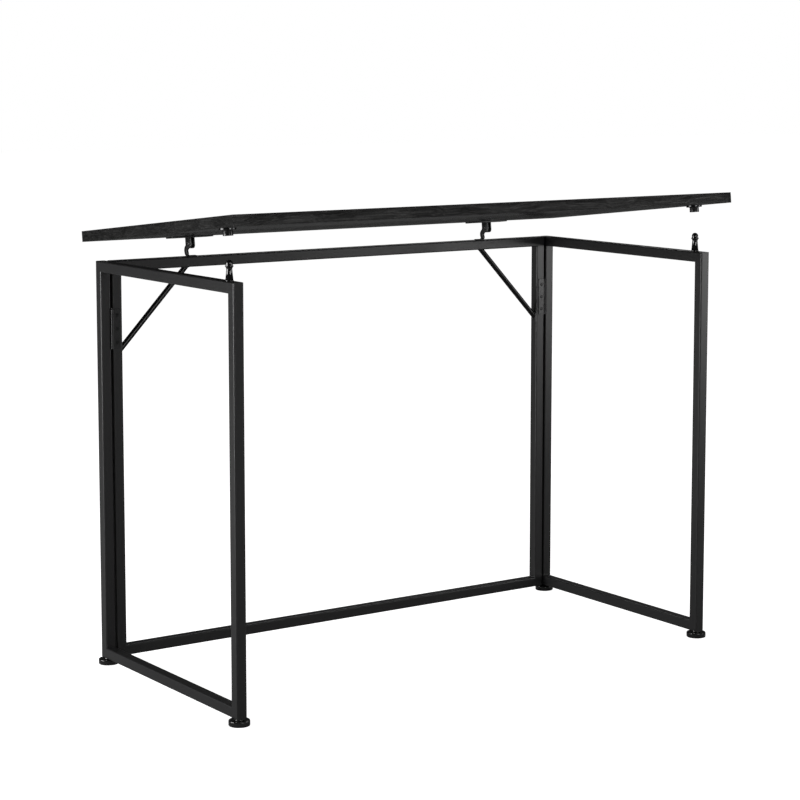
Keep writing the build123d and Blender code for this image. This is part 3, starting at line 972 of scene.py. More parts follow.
def drive_screws(shop: Shop, name: str, body: str, places: Sequence[tuple[Vector, Vector]],
                 head_radius: float, length: float, seed: int) -> None:
    """Drive one screw at each place; they stand for the CAD node of the same name.

    Args:
        shop: Finishes and trees.
        name: The CAD node, and the new piece's name with "_driven" after it.
        body: The body that the screws sit in.
        places: Point of each head's face and its outward direction.
        head_radius: Radius of the heads.
        length: Length of the screws.
        seed: Seed of their random turns.
    """
    start = bpy.data.meshes.new(name + "_points")
    start.from_pydata([place for place, _ in places], [], [])
    facing = start.attributes.new("facing", "FLOAT_VECTOR", "POINT")
    for index, (_, direction) in enumerate(places):
        facing.data[index].vector = direction
    values = {"Screw": shop.screw(head_radius, length), "Seed": seed, "Material": shop.finishes.screw_steel}
    piece = shop.makers.screws.run(name + "_driven", start, values)
    finish_piece(piece, body, [name])


def prism(outline: Outline, low: float, high: float, edge: float) -> BMesh:
    """A flat piece of one thickness, its rims rounded over.

    Args:
        outline: X and Y of the outline's points.
        low: Z of the lower face.
        high: Z of the upper face.
        edge: Radius of the rims.

    Returns:
        The closed piece.
    """
    build = bmesh.new()
    base = build.faces.new([build.verts.new((x, y, low)) for x, y in outline])
    raised = bmesh.ops.extrude_face_region(build, geom=[base])["geom"]
    lifted = [item for item in raised if isinstance(item, BMVert)]
    bmesh.ops.translate(build, vec=(0.0, 0.0, high - low), verts=lifted)
    rims = [e for e in build.edges if abs(e.verts[0].co.z - e.verts[1].co.z) < 0.1 * (high - low)]
    bmesh.ops.recalc_face_normals(build, faces=build.faces)
    bmesh.ops.bevel(build, geom=rims, offset=edge, segments=2, profile=0.5, affect="EDGES")
    return build


def rounded_outline(width: float, depth: float, radius: float, centre: tuple[float, float] = (0.0, 0.0),
                    ) -> list[tuple[float, float]]:
    """Outline of a rectangle with rounded corners.

    Args:
        width: Size along X.
        depth: Size along Y.
        radius: Radius of the corners.
        centre: Middle of the rectangle.

    Returns:
        The outline's points, anticlockwise.
    """
    points = []
    for corner, (side_x, side_y) in enumerate(((1, 1), (-1, 1), (-1, -1), (1, -1))):
        middle = (centre[0] + side_x * (width / 2 - radius), centre[1] + side_y * (depth / 2 - radius))
        points += arc(middle, radius, 90 * corner, 90 * corner + 90, 6)
    return points


def join(parts: Sequence[tuple[BMesh, Matrix]]) -> BMesh:
    """Put several closed pieces into one, each in its own place.

    Args:
        parts: The pieces, which are freed, and their places.

    Returns:
        All of them together.
    """
    whole = bmesh.new()
    for build, place in parts:
        bmesh.ops.transform(build, matrix=place, verts=build.verts)
        if place.determinant() < 0:
            bmesh.ops.reverse_faces(build, faces=build.faces)
        carrier = bpy.data.meshes.new("carrier")
        build.to_mesh(carrier)
        build.free()
        whole.from_mesh(carrier)
        bpy.data.meshes.remove(carrier)
    return whole


def made_piece(name: str, build: BMesh, material: Material) -> Object:
    """A new object from a bmesh, smooth but for its sharp edges."""
    mesh = mesh_from(name, build, material)
    sharpen(mesh, 40.0)
    return object_from(name, mesh)


def axes(place: Vector, x_axis: Vector, y_axis: Vector, z_axis: Vector) -> Matrix:
    """Matrix from a piece's own axes to the frame."""
    return Matrix.Translation(place) @ Matrix((x_axis, y_axis, z_axis)).transposed().to_4x4()


@dataclass
class SquareTube:
    """One mitred square tube, in the place of its CAD node."""

    node: str
    body: str
    inside: Vector
    side: float = 18 * MM
    corner_radius: float = 2 * MM

    def build(self, shop: Shop) -> None:
        """Sweep the tube and set it in its place.

        Args:
            shop: Finishes and trees.
        """
        low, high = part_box(self.node)
        size = high - low
        length = max(size)
        along = Vector([1.0 if extent == length else 0.0 for extent in size])
        start = (low + high) / 2 - along * length / 2
        piece = shop.makers.tube.run(self.node + "_tube", bpy.data.meshes.new("tube_start"), {
            "Length": length, "Side": self.side, "Corner Radius": self.corner_radius,
            "Material": shop.finishes.powder_coat,
        })
        across = self.inside.cross(along)
        turn = Matrix((across, self.inside, along)).transposed().to_4x4()
        piece.data.transform(Matrix.Translation(start) @ turn)
        face_out(piece.data)
        finish_piece(piece, self.body, [self.node])


def face_out(mesh: Mesh) -> None:
    """Turn every face of closed shells outwards."""
    build = bmesh.new()
    build.from_mesh(mesh)
    bmesh.ops.recalc_face_normals(build, faces=build.faces)
    build.to_mesh(mesh)
    build.free()


@dataclass
class WeldBeads:
    """Weld beads of one frame: a short line in each inner corner and a ring round each brace end."""

    name: str
    body: str
    radius: float = 1.0 * MM
    pitch: float = 0.9 * MM
    corner_run: float = 13 * MM
    points: list[Vector] = field(default_factory=list)
    edges: list[tuple[int, int]] = field(default_factory=list)

    def line(self, middle: Vector, along: Vector) -> None:
        """Add a straight bead.

        Args:
            middle: Middle of the bead.
            along: Its direction.
        """
        first = len(self.points)
        self.points += [middle - along * self.corner_run / 2, middle + along * self.corner_run / 2]
        self.edges.append((first, first + 1))

    def ring(self, middle: Vector, first_axis: Vector, second_axis: Vector, steps: int = 32) -> None:
        """Add an elliptical bead.

        Args:
            middle: Centre of the ellipse.
            first_axis: One half axis.
            second_axis: The other half axis.
            steps: Straight steps round it.
        """
        first = len(self.points)
        for index in range(steps):
            angle = math.tau * index / steps
            self.points.append(middle + first_axis * math.cos(angle) + second_axis * math.sin(angle))
            self.edges.append((first + index, first + (index + 1) % steps))

    def build(self, shop: Shop, seed: int) -> None:
        """Lay the beads.

        Args:
            shop: Finishes and trees.
            seed: Seed of the drops' sizes.
        """
        start = bpy.data.meshes.new(self.name + "_lines")
        start.from_pydata(self.points, self.edges, [])
        values = {"Pitch": self.pitch, "Radius": self.radius, "Seed": seed,
                  "Material": shop.finishes.powder_coat}
        finish_piece(shop.makers.bead.run(self.name, start, values), self.body)


def inner_corners(nodes: Sequence[str], thickness: Vector) -> list[Vector]:
    """Inner corners of a rectangle of tubes.

    Args:
        nodes: The bottom rail, top rail and both posts, in that order.
        thickness: Direction across the rectangle.

    Returns:
        The four corners, in the middle of the tubes' thickness.
    """
    low_rail, high_rail, first_post, last_post = (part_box(node) for node in nodes)
    middle = (first_post[0] + first_post[1]) / 2
    run = Vector((0.0, 1.0, 0.0)) if abs(thickness.x) > 0.5 else Vector((1.0, 0.0, 0.0))
    ends = sorted([first_post, last_post], key=lambda box: box[0].dot(run))
    spans = (ends[0][1].dot(run), ends[1][0].dot(run))
    return [
        thickness * middle.dot(thickness) + run * along + Vector((0.0, 0.0, height))
        for along in spans for height in (low_rail[1].z, high_rail[0].z)
    ]


X_AXIS, Y_AXIS, Z_AXIS = Vector((1.0, 0.0, 0.0)), Vector((0.0, 1.0, 0.0)), Vector((0.0, 0.0, 1.0))


@dataclass
class BackFrame:
    """Rectangle of tubes at the back, with two round braces and the hook arms of the board's hinges."""

    body: str = "back_frame"
    brace_diameter: float = 9.5 * MM
    brace_drop: float = 151 * MM

    def build(self, shop: Shop) -> None:
        """Make the tubes and welds, and dress the braces.

        Args:
            shop: Finishes and trees.
        """
        insides = {"back_bottom_rail": Z_AXIS, "back_top_rail": -Z_AXIS,
                   "back_left_post": X_AXIS, "back_right_post": -X_AXIS}
        for node, inside in insides.items():
            SquareTube(node, self.body, inside).build(shop)
        for side in SIDES:
            # The braces take the darker copy of the frame's coat, which is painted shade.
            dress(f"{side}_brace", shop.finishes.brace_coat_painted_shade)
        self.weld(shop)

    def weld(self, shop: Shop) -> None:
        """Lay the beads in the corners and round the braces' ends.

        Args:
            shop: Finishes and trees.
        """
        beads = WeldBeads("back_frame_welds", self.body)
        nodes = ["back_bottom_rail", "back_top_rail", "back_left_post", "back_right_post"]
        for corner in inner_corners(nodes, Y_AXIS):
            beads.line(corner, Y_AXIS)
        radius = self.brace_diameter / 2
        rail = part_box("back_top_rail")
        for side, sign in zip(SIDES, (-1, 1)):
            low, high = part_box(f"{side}_brace")
            depth = (low.y + high.y) / 2
            post_x = sign * max(abs(low.x), abs(high.x))
            foot = Vector((post_x, depth, rail[1].z - self.brace_drop))
            head_x = sign * (min(abs(low.x), abs(high.x)) + radius / math.sin(self.slope(low, high)))
            head = Vector((head_x, depth, rail[0].z))
            along = (head - foot).normalized()
            beads.ring(foot, Y_AXIS * radius, Z_AXIS * radius / abs(along.x))
            beads.ring(head, Y_AXIS * radius, X_AXIS * radius / abs(along.z))
        beads.build(shop, 11)

    @staticmethod
    def slope(low: Vector, high: Vector) -> float:
        """Angle of a brace above level, from its box."""
        return math.atan2(high.z - low.z, high.x - low.x)


def joint(name: str) -> dict:
    """The record's entry for one joint."""
    return next(entry for entry in frame["joints"] if entry["name"] == name)


@dataclass
class SideHinge:
    """Butt hinge between the back frame and one wing, with three screws in each leaf."""

    side: str
    sign: int
    leaf_width: float = 15.6 * MM
    leaf_thickness: float = 1.4 * MM
    knuckles: int = 5
    knuckle_radius: float = 2.6 * MM
    knuckle_gap: float = 0.3 * MM
    screw_pitch: float = 23 * MM
    screw_from_axis: float = 9.2 * MM
    head_radius: float = 2.9 * MM
    screw_length: float = 6 * MM
    edge: float = 0.3 * MM

    def build(self, shop: Shop) -> None:
        """Press the leaves, drive their screws and dress the pin.

        Args:
            shop: Finishes and trees.
        """
        pivot = Vector(joint(f"{self.side}_wing_fold")["pos_m"])
        inward = -self.sign * X_AXIS
        for kind, body, run, out, seed in (
            ("fixed", "back_frame", inward, -Y_AXIS, 21),
            ("moving", f"{self.side}_wing", Y_AXIS, inward, 22),
        ):
            node = f"{self.side}_hinge_{kind}_leaf"
            low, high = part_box(node)
            place = axes(Vector((pivot.x, pivot.y, low.z)), run, out, run.cross(out))
            upward = run.cross(out).z
            leaf = self.leaf(kind == "fixed", high.z - low.z, upward)
            piece = made_piece(node + "_pressed", leaf, shop.finishes.hinge_steel)
            piece.data.transform(place)
            sharpen(piece.data, 20.0)
            finish_piece(piece, body, [node])
            middle = (low.z + high.z) / 2
            face = self.screw_face(kind == "fixed")
            places = []
            for step in (1, 0, -1):
                point = pivot + run * self.screw_from_axis + out * face
                places.append((Vector((point.x, point.y, middle + step * self.screw_pitch)), out))
            drive_screws(shop, f"{self.side}_hinge_{kind}_screws", body, places,
                         self.head_radius, self.screw_length, seed)
        dress(f"{self.side}_hinge_pin", shop.finishes.hinge_steel)

    def screw_face(self, fixed: bool) -> float:
        """Distance from the pin's axis to the leaf's face, measured away from the tube.

        Args:
            fixed: Whether it is the back frame's leaf.

        Returns:
            The distance, below zero where the face is on the tube's side of the axis.
        """
        node = f"back_{self.side}_post" if fixed else f"{self.side}_wing_back_post"
        pivot = joint(f"{self.side}_wing_fold")["pos_m"]
        low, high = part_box(node)
        gap = low.y - pivot[1] if fixed else min(abs(low.x), abs(high.x)) - abs(pivot[0])
        return self.leaf_thickness - gap

    def leaf(self, fixed: bool, length: float, upward: float) -> BMesh:
        """One leaf about the pin's axis: X along the sheet, Y out of it, Z along the pin.

        Args:
            fixed: Whether it carries the outer knuckles.
            length: Length of the leaf.
            upward: 1 where the leaf's own Z points up, or -1.

        Returns:
            The sheet and its rolled knuckles.
        """
        face = self.screw_face(fixed)
        back = face - self.leaf_thickness
        near = self.knuckle_radius + self.knuckle_gap
        sheet = rounded_box(Vector((self.leaf_width - near, self.leaf_thickness, length)), self.edge, 2)
        middle = Vector(((self.leaf_width + near) / 2, (face + back) / 2, length / 2 * upward))
        parts = [(sheet, Matrix.Translation(middle))]
        pitch = length / self.knuckles
        outline = self.knuckle_outline(face, back, near)
        for index in range(0 if fixed else 1, self.knuckles, 2):
            low = index * pitch + self.knuckle_gap / 2
            high = (index + 1) * pitch - self.knuckle_gap / 2
            ends = sorted((low * upward, high * upward))
            parts.append((prism(outline, ends[0], ends[1], self.edge), Matrix.Identity(4)))
        return join(parts)

    def knuckle_outline(self, face: float, back: float, near: float) -> list[tuple[float, float]]:
        """Outline across one knuckle: round about the pin, with a tongue to the sheet.

        Args:
            face: Height of the sheet's face above the axis.
            back: Height of its back.
            near: Where the sheet starts.

        Returns:
            The outline's points.
        """
        upper = math.degrees(math.asin(max(-0.98, min(0.98, face / self.knuckle_radius))))
        lower = math.degrees(math.asin(max(-0.98, min(0.98, back / self.knuckle_radius))))
        tongue = near + 2 * self.edge
        return [(tongue, back), (tongue, face)] + arc((0.0, 0.0), self.knuckle_radius, upper, 360 + lower, 28)


@dataclass
class LocatingStud:
    """Glossy tapered post that carries the board's front, turned in one piece."""

    side: str
    base_radius: float = 6.7 * MM
    base_thickness: float = 1.4 * MM
    body_radius: float = 6.2 * MM
    neck_radius: float = 4.6 * MM
    neck_height: float = 19.6 * MM
    rim_radius: float = 6.8 * MM
    rim_height: float = 22.4 * MM
    rim_thickness: float = 1.0 * MM
    head_radius: float = 5.5 * MM
    tip_height: float = 32.4 * MM
    rod_radius: float = 2.5 * MM
    rod_length: float = 12 * MM
    edge: float = 0.35 * MM

    def profile(self) -> list[tuple[float, float]]:
        """Radius and height of the turned profile, from the rod's end to the tip."""
        edge = self.edge
        rim_top = self.rim_height + self.rim_thickness
        dome = self.tip_height - self.head_radius
        points = [(0.0, -self.rod_length), (self.rod_radius, -self.rod_length), (self.rod_radius, 0.0)]
        points += [(self.base_radius - edge, 0.0)]
        points += arc((self.base_radius - edge, edge), edge, -90, 0, 4)
        points += arc((self.base_radius - edge, self.base_thickness - edge), edge, 0, 80, 4)
        points += [(self.body_radius, self.base_thickness + 0.2 * MM)]
        points += [(self.neck_radius, self.neck_height - 1.2 * MM),
                   (self.neck_radius + 0.2 * MM, self.neck_height)]
        points += [(self.rim_radius - edge, self.rim_height)]
        points += arc((self.rim_radius - edge, self.rim_height + edge), edge, -60, 0, 4)
        points += arc((self.rim_radius - edge, rim_top - edge), edge, 0, 90, 4)
        points += [(self.head_radius, rim_top), (self.head_radius, dome)]
        points += arc((0.0, dome), self.head_radius, 6, 84, 12)
        return points + [(0.0, self.tip_height)]

    def build(self, shop: Shop) -> None:
        """Turn the stud on its rail and dress the insert.

        Args:
            shop: Finishes and trees.
        """
        node = f"{self.side}_locating_stud"
        low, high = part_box(node)
        mesh = mesh_from(node + "_turned", lathe(self.profile()), shop.finishes.stud_gloss)
        sharpen(mesh, 50.0)
        rail_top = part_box(f"{self.side}_wing_top_rail")[1].z
        centre = (low + high) / 2
        mesh.transform(Matrix.Translation((centre.x, centre.y, rail_top)))
        finish_piece(object_from(node + "_turned", mesh), f"{self.side}_wing", [node])
        dress(f"{self.side}_stud_insert", shop.finishes.zinc)


@dataclass
class LevellingFoot:
    """Round moulded pad with a waisted neck on a threaded rod."""

    side: str
    end: str
    pad_radius: float = 17 * MM
    bottom_bevel: float = 1.0 * MM
    shoulder_height: float = 7.4 * MM
    top_height: float = 8.8 * MM
    neck_radius: float = 7.6 * MM
    neck_height: float = 10.1 * MM
    rod_radius: float = 3.0 * MM
    thread_pitch: float = 1.0 * MM
    thread_depth: float = 0.55 * MM

    def profile(self) -> list[tuple[float, float]]:
        """Radius and height of the pad's profile, from the floor up to the neck."""
        shoulder = self.top_height - self.shoulder_height
        waist = self.pad_radius - shoulder
        edge = 0.4 * MM
        points = [(0.0, 0.3 * MM), (self.pad_radius - 4 * MM, 0.3 * MM), (self.pad_radius - 3.6 * MM, 0.0)]
        points += [(self.pad_radius - self.bottom_bevel, 0.0)]
        points += arc((self.pad_radius - self.bottom_bevel, self.bottom_bevel), self.bottom_bevel, -70, 0, 5)
        points += arc((waist, self.shoulder_height), shoulder, 0, 90, 8)
        groove = self.neck_radius + 3.0 * MM
        points += [(groove + 1.2 * MM, self.top_height - 0.1 * MM), (groove, self.top_height - 0.35 * MM)]
        points += [(self.neck_radius + 1.2 * MM, self.top_height - 0.2 * MM),
                   (self.neck_radius + 0.4 * MM, self.top_height + 0.2 * MM),
                   (self.neck_radius, self.top_height + 0.7 * MM)]
        points += arc((self.neck_radius - edge, self.neck_height - edge), edge, 0, 90, 4)
        return points + [(self.rod_radius, self.neck_height), (self.rod_radius, self.neck_height - 2 * MM),
                         (0.0, self.neck_height - 2 * MM)]

    def build(self, shop: Shop) -> None:
        """Turn the pad, cut the rod's thread and dress the insert.

        Args:
            shop: Finishes and trees.
        """
        name = f"{self.side}_{self.end}_foot"
        low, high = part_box(name + "_pad")
        centre = (low + high) / 2
        mesh = mesh_from(name + "_turned_pad", lathe(self.profile()), shop.finishes.foot_plastic)
        sharpen(mesh, 50.0)
        mesh.transform(Matrix.Translation((centre.x, centre.y, 0.0)))
        finish_piece(object_from(name + "_turned_pad", mesh), name, [name + "_pad"])
        self.cut_rod(shop, name)
        dress(f"{name}_insert", shop.finishes.zinc)

    def cut_rod(self, shop: Shop, name: str) -> None:
        """Make the threaded rod.

        Args:
            shop: Finishes and trees.
            name: Name of the foot.
        """
        low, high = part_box(name + "_rod")
        centre = (low + high) / 2
        chamfer = 0.6 * MM
        length = high.z - low.z
        core = self.rod_radius - self.thread_depth
        start = mesh_from(name + "_rod_core", lathe([
            (0.0, 0.0), (core, 0.0), (core, length - chamfer), (core - chamfer, length), (0.0, length),
        ], segments=32), shop.finishes.zinc)
        turns = (length - 2 * chamfer) / self.thread_pitch
        rod = shop.makers.thread.run(name + "_threaded_rod", start, {
            "Radius": self.rod_radius, "Pitch": self.thread_pitch, "Turns": turns, "Depth": self.thread_depth,
            "Material": shop.finishes.zinc,
        })
        sharpen(rod.data, 50.0)
        rod.data.transform(Matrix.Translation((centre.x, centre.y, low.z)))
        finish_piece(rod, name, [name + "_rod"])


@dataclass
class SideWing:
    """Folding side: a rectangle of tubes with its stud and its two levelling feet."""

    side: str
    sign: int

    def build(self, shop: Shop) -> None:
        """Make the tubes, welds, stud and feet.

        Args:
            shop: Finishes and trees.
        """
        body = f"{self.side}_wing"
        insides = {"bottom_rail": Z_AXIS, "top_rail": -Z_AXIS, "front_post": Y_AXIS, "back_post": -Y_AXIS}
        for part, inside in insides.items():
            SquareTube(f"{body}_{part}", body, inside).build(shop)
        beads = WeldBeads(f"{body}_welds", body)
        for corner in inner_corners([f"{body}_{part}" for part in insides], X_AXIS):
            beads.line(corner, X_AXIS)
        beads.build(shop, 12 + self.sign)
        LocatingStud(self.side).build(shop)
        for end in ENDS:
            LevellingFoot(self.side, end).build(shop)


@dataclass
class BoardPlane:
    """The board's own directions at rest, from its joint's place and lowest angle."""

    to_underside: float = 12.5 * MM

    def tilt(self) -> float:
        """Angle in radians between the board at rest and level."""
        return math.radians(-joint("top_lift")["range_deg"][0])

    def matrix(self) -> Matrix:
        """Matrix from board places (X along, Y back, Z out of the top) to the frame's places."""
        pivot = Vector(joint("top_lift")["pos_m"])
        return Matrix.Translation(pivot) @ Matrix.Rotation(-self.tilt(), 4, "X")

    def place(self, x: float, y: float, z: float) -> Vector:
        """A point given on the board, in the frame."""
        return self.matrix() @ Vector((x, y, z))

    def down(self) -> Vector:
        """Direction out of the underside."""
        return self.matrix().to_3x3() @ -Z_AXIS


@dataclass
class Tabletop:
    """Chipboard top with a laminate on each face and grained bands on its four edges."""

    plane: BoardPlane
    width: float = 1000 * MM
    depth: float = 500 * MM
    thickness: float = 18 * MM
    behind_pivot: float = 35.2 * MM
    band: float = 1.0 * MM
    arris: float = 0.45 * MM
    laminate: float = 0.7 * MM

    def slab(self, name: str, low: Vector, high: Vector, radius: float, material: Material,
             ) -> Object:
        """A slab given by two corners on the board, with its arrises rounded over.

        Args:
            name: The piece's name.
            low: Corner with the lowest values.
            high: Corner with the highest values.
            radius: Radius of the arrises.
            material: Its finish.

        Returns:
            The slab in its place in the frame.
        """
        build = rounded_box(high - low, radius, 3)
        bmesh.ops.translate(build, vec=(low + high) / 2, verts=build.verts)
        mesh = mesh_from(name, build, material)
        sharpen(mesh, 50.0)
        mesh.transform(self.plane.matrix())
        return object_from(name, mesh)

    def build(self, shop: Shop) -> None:
        """Make the core, both laminates and the four bands.

        Args:
            shop: Finishes and trees.
        """
        finishes = shop.finishes
        bottom = self.plane.to_underside
        top = bottom + self.thickness
        half, back, front = self.width / 2, self.behind_pivot, self.behind_pivot - self.depth
        band = self.band
        inner = (-half + band, front + band, half - band, back - band)
        layers = (
            ("bottom_laminate", bottom, bottom + self.laminate, finishes.under_face, []),
            ("chipboard_core", bottom + self.laminate, top - self.laminate, finishes.under_face,
             ["tabletop_board"]),
            ("top_laminate", top - self.laminate, top, finishes.top_face, []),
        )
        for name, low, high, material, nodes in layers:
            piece = self.slab(name, Vector((inner[0], inner[1], low)), Vector((inner[2], inner[3], high)),
                              0.1 * MM, material)
            finish_piece(piece, "tabletop", nodes)
        spans = {
            "front": ((-half, front), (half, front + band), finishes.edge_long),
            "back": ((-half, back - band), (half, back), finishes.edge_long),
            # The side bands take the darker copy of the banding, which is painted shade.
            "left": ((-half, front + band), (-half + band, back - band), finishes.edge_side_painted_shade),
            "right": ((half - band, front + band), (half, back - band), finishes.edge_side_painted_shade),
        }
        for name, (low, high, material) in spans.items():
            corners = Vector((*low, bottom)), Vector((*high, top))
            piece = self.slab(f"{name}_band_grained", *corners, self.arris, material)
            finish_piece(piece, "tabletop", [f"{name}_edge_band"])


@dataclass
class BoardHinge:
    """Plate and clevis under the board, its rivet, and the bent arm that carries it on the back rail."""

    side: str
    sign: int
    plane: BoardPlane
    pivot_x: float = 315 * MM
    plate_length: float = 80 * MM
    plate_depth: float = 26 * MM
    plate_thickness: float = 2.5 * MM
    plate_corner: float = 3 * MM
    clevis_width: float = 9 * MM
    ear_thickness: float = 2.2 * MM
    ear_depth: float = 18 * MM
    ear_below_pivot: float = 8.5 * MM
    ear_corner: float = 6 * MM
    rivet_radius: float = 4.0 * MM
    rivet_head: float = 1.2 * MM
    arm_thickness: float = 3.6 * MM
    arm_width: float = 9.4 * MM
    eye_radius: float = 6.4 * MM
    tab_length: float = 16 * MM
    tab_thickness: float = 2.0 * MM
    bend_radius: float = 3.6 * MM
    screw_x: float = 31 * MM
    screw_y: float = 7.5 * MM
    head_radius: float = 3.6 * MM
    screw_length: float = 14 * MM
    edge: float = 0.45 * MM

    def build(self, shop: Shop) -> None:
        """Make the plate, its screws, the rivet and the arm.

        Args:
            shop: Finishes and trees.
        """
        steel = shop.finishes.hinge_steel
        centre_x = self.sign * self.pivot_x
        place = self.plane.matrix() @ Matrix.Translation((centre_x, 0.0, 0.0))
        node = f"{self.side}_top_hinge_plate"
        plate = made_piece(node + "_pressed", self.plate(), steel)
        plate.data.transform(place)
        finish_piece(plate, "tabletop", [node])
        pin = f"{self.side}_pivot_pin"
        rivet = made_piece(pin + "_turned", self.rivet(), steel)
        rivet.data.transform(place)
        finish_piece(rivet, "tabletop", [pin])
        face = self.plane.to_underside - self.plate_thickness
        places = [
            (self.plane.place(centre_x + x, y, face), self.plane.down())
            for x in (-self.screw_x, self.screw_x) for y in (-self.screw_y, self.screw_y)
        ]
        drive_screws(shop, f"{self.side}_plate_screws", "tabletop", places,
                     self.head_radius, self.screw_length, 31)
        arm_node = f"{self.side}_hook_arm"
        arm = made_piece(arm_node + "_bent", self.arm(arm_node), steel)
        finish_piece(arm, "back_frame", [arm_node])

    def plate(self) -> BMesh:
        """The plate and both ears, about the pivot: X along the pivot line, Z out of the board."""
        under = self.plane.to_underside
        outline = rounded_outline(self.plate_length, self.plate_depth, self.plate_corner)
        parts = [(prism(outline, under - self.plate_thickness, under, self.edge), Matrix.Identity(4))]
        top = under - self.plate_thickness + 2 * self.edge
        low = -self.ear_below_pivot
        half, corner = self.ear_depth / 2, self.ear_corner
        ear = [(half, top), (-half, top), *arc((-half + corner, low + corner), corner, 180, 270, 8),
               *arc((half - corner, low + corner), corner, 270, 360, 8)]
        upright = axes(Vector(), Y_AXIS, Z_AXIS, X_AXIS)
        for start in (-self.clevis_width / 2, self.clevis_width / 2 - self.ear_thickness):
            parts.append((prism(ear, start, start + self.ear_thickness, self.edge), upright))
        return join(parts)

    def rivet(self) -> BMesh:
        """The rivet along X, with a low domed head outside each ear."""
        half, head, radius = self.clevis_width / 2, self.rivet_head, self.rivet_radius
        side = [(radius, half), (radius, half + 0.25 * head), (0.82 * radius, half + 0.8 * head),
                (0.45 * radius, half + head), (0.0, half + head)]
        mirrored = [(r, -z) for r, z in reversed(side)]
        shank = 0.6 * radius
        build = lathe(mirrored + [(shank, -half), (shank, half)] + side, segments=40)
        bmesh.ops.transform(build, matrix=Matrix.Rotation(math.pi / 2, 4, "Y"), verts=build.verts)
        return build

    def arm(self, node: str) -> BMesh:
        """Bent strap: an eye on the rivet, a shank that swings back, and a tab turned in along the rail.

        Args:
            node: The arm's CAD node.

        Returns:
            The arm in its place in the frame.
        """
        pivot = Vector(joint("top_lift")["pos_m"]) + X_AXIS * self.sign * self.pivot_x
        low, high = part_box(node)
        radius, face, shoulder = self.eye_radius, 0.55 * self.arm_thickness, 0.4 * self.arm_thickness
        eye = lathe([(0.0, -face), (radius - self.edge, -face), (radius, -shoulder), (radius, shoulder),
                     (radius - self.edge, face), (0.0, face)], segments=48)
        side_on = Matrix.Translation(pivot) @ Matrix.Rotation(math.pi / 2, 4, "Y")
        return join([(eye, side_on), (self.strap(pivot, low, high), Matrix.Identity(4))])

    def strap(self, pivot: Vector, low: Vector, high: Vector) -> BMesh:
        """The shank and tab, swept from the eye's centre to the tab's end.

        Args:
            pivot: Centre of the eye.
            low: Lowest corner of the arm's CAD node.
            high: Its highest corner.

        Returns:
            The closed strap.
        """
        inward = -self.sign * X_AXIS
        rail = low.z
        foot = high.y - self.arm_width / 2 - 2.3 * MM
        bulge = Vector((pivot.x, foot + 1.9 * MM, pivot.z - 11.5 * MM))
        turn_start = rail + self.bend_radius + self.tab_thickness / 2
        spine = smooth_curve([pivot, Vector((pivot.x, pivot.y + 7.8 * MM, pivot.z - 4.9 * MM)), bulge,
                              Vector((pivot.x, foot, turn_start))], 8)
        rings = []
        for index, point in enumerate(spine):
            ahead = spine[min(index + 1, len(spine) - 1)] - spine[max(index - 1, 0)]
            across = X_AXIS.cross(ahead).normalized()
            across = across if across.y > 0 else -across
            if index == len(spine) - 1:
                across = Y_AXIS
            rings.append(self.section(point, across, X_AXIS, self.arm_thickness))
        turn = Vector((pivot.x, foot, turn_start)) + inward * self.bend_radius
        for step in range(1, 7):
            angle = math.pi / 2 * step / 6
            share = step / 6
            spot = turn - (inward * math.cos(angle) + Z_AXIS * math.sin(angle)) * self.bend_radius
            thick = (inward * math.cos(angle) + Z_AXIS * math.sin(angle)) * (-self.sign)
            depth = self.arm_thickness + (self.tab_thickness - self.arm_thickness) * share
            rings.append(self.section(spot, Y_AXIS, thick, depth))
        last = Vector((pivot.x, foot, rail + self.tab_thickness / 2)) + inward * self.tab_length
        rings.append(self.section(last, Y_AXIS, -self.sign * Z_AXIS, self.tab_thickness))
        tip = last + inward * 1.2 * MM
        rings.append(self.section(tip, Y_AXIS * 0.75, -self.sign * Z_AXIS, self.tab_thickness))
        return skin([[pivot], *rings, [tip]])

    def section(self, centre: Vector, across: Vector, through: Vector, thickness: float) -> list[Vector]:
        """One cross-section of the strap, its edges rounded.

        Args:
            centre: Middle of the section.
            across: Direction of the strap's width.
            through: Direction of its thickness.
            thickness: Thickness at this section.

        Returns:
            The section's points.
        """
        outline = rounded_outline(self.arm_width, thickness, 0.8 * MM)
        return [centre + across * x + through * y for x, y in outline]


def smooth_curve(points: Sequence[Vector], steps: int) -> list[Vector]:
    """Smooth line through points.

    Args:
        points: The points it goes through.
        steps: Steps between two points.

    Returns:
        Points along the line, both ends included.
    """
    padded = [points[0] * 2 - points[1], *points, points[-1] * 2 - points[-2]]
    line = [points[0].copy()]
    for before, first, second, after in zip(padded, padded[1:], padded[2:], padded[3:]):
        for step in range(1, steps + 1):
            t = step / steps
            line.append(0.5 * (2 * first + (second - before) * t
                               + (2 * before - 5 * first + 4 * second - after) * t ** 2
                               + (3 * first - before - 3 * second + after) * t ** 3))
    return line


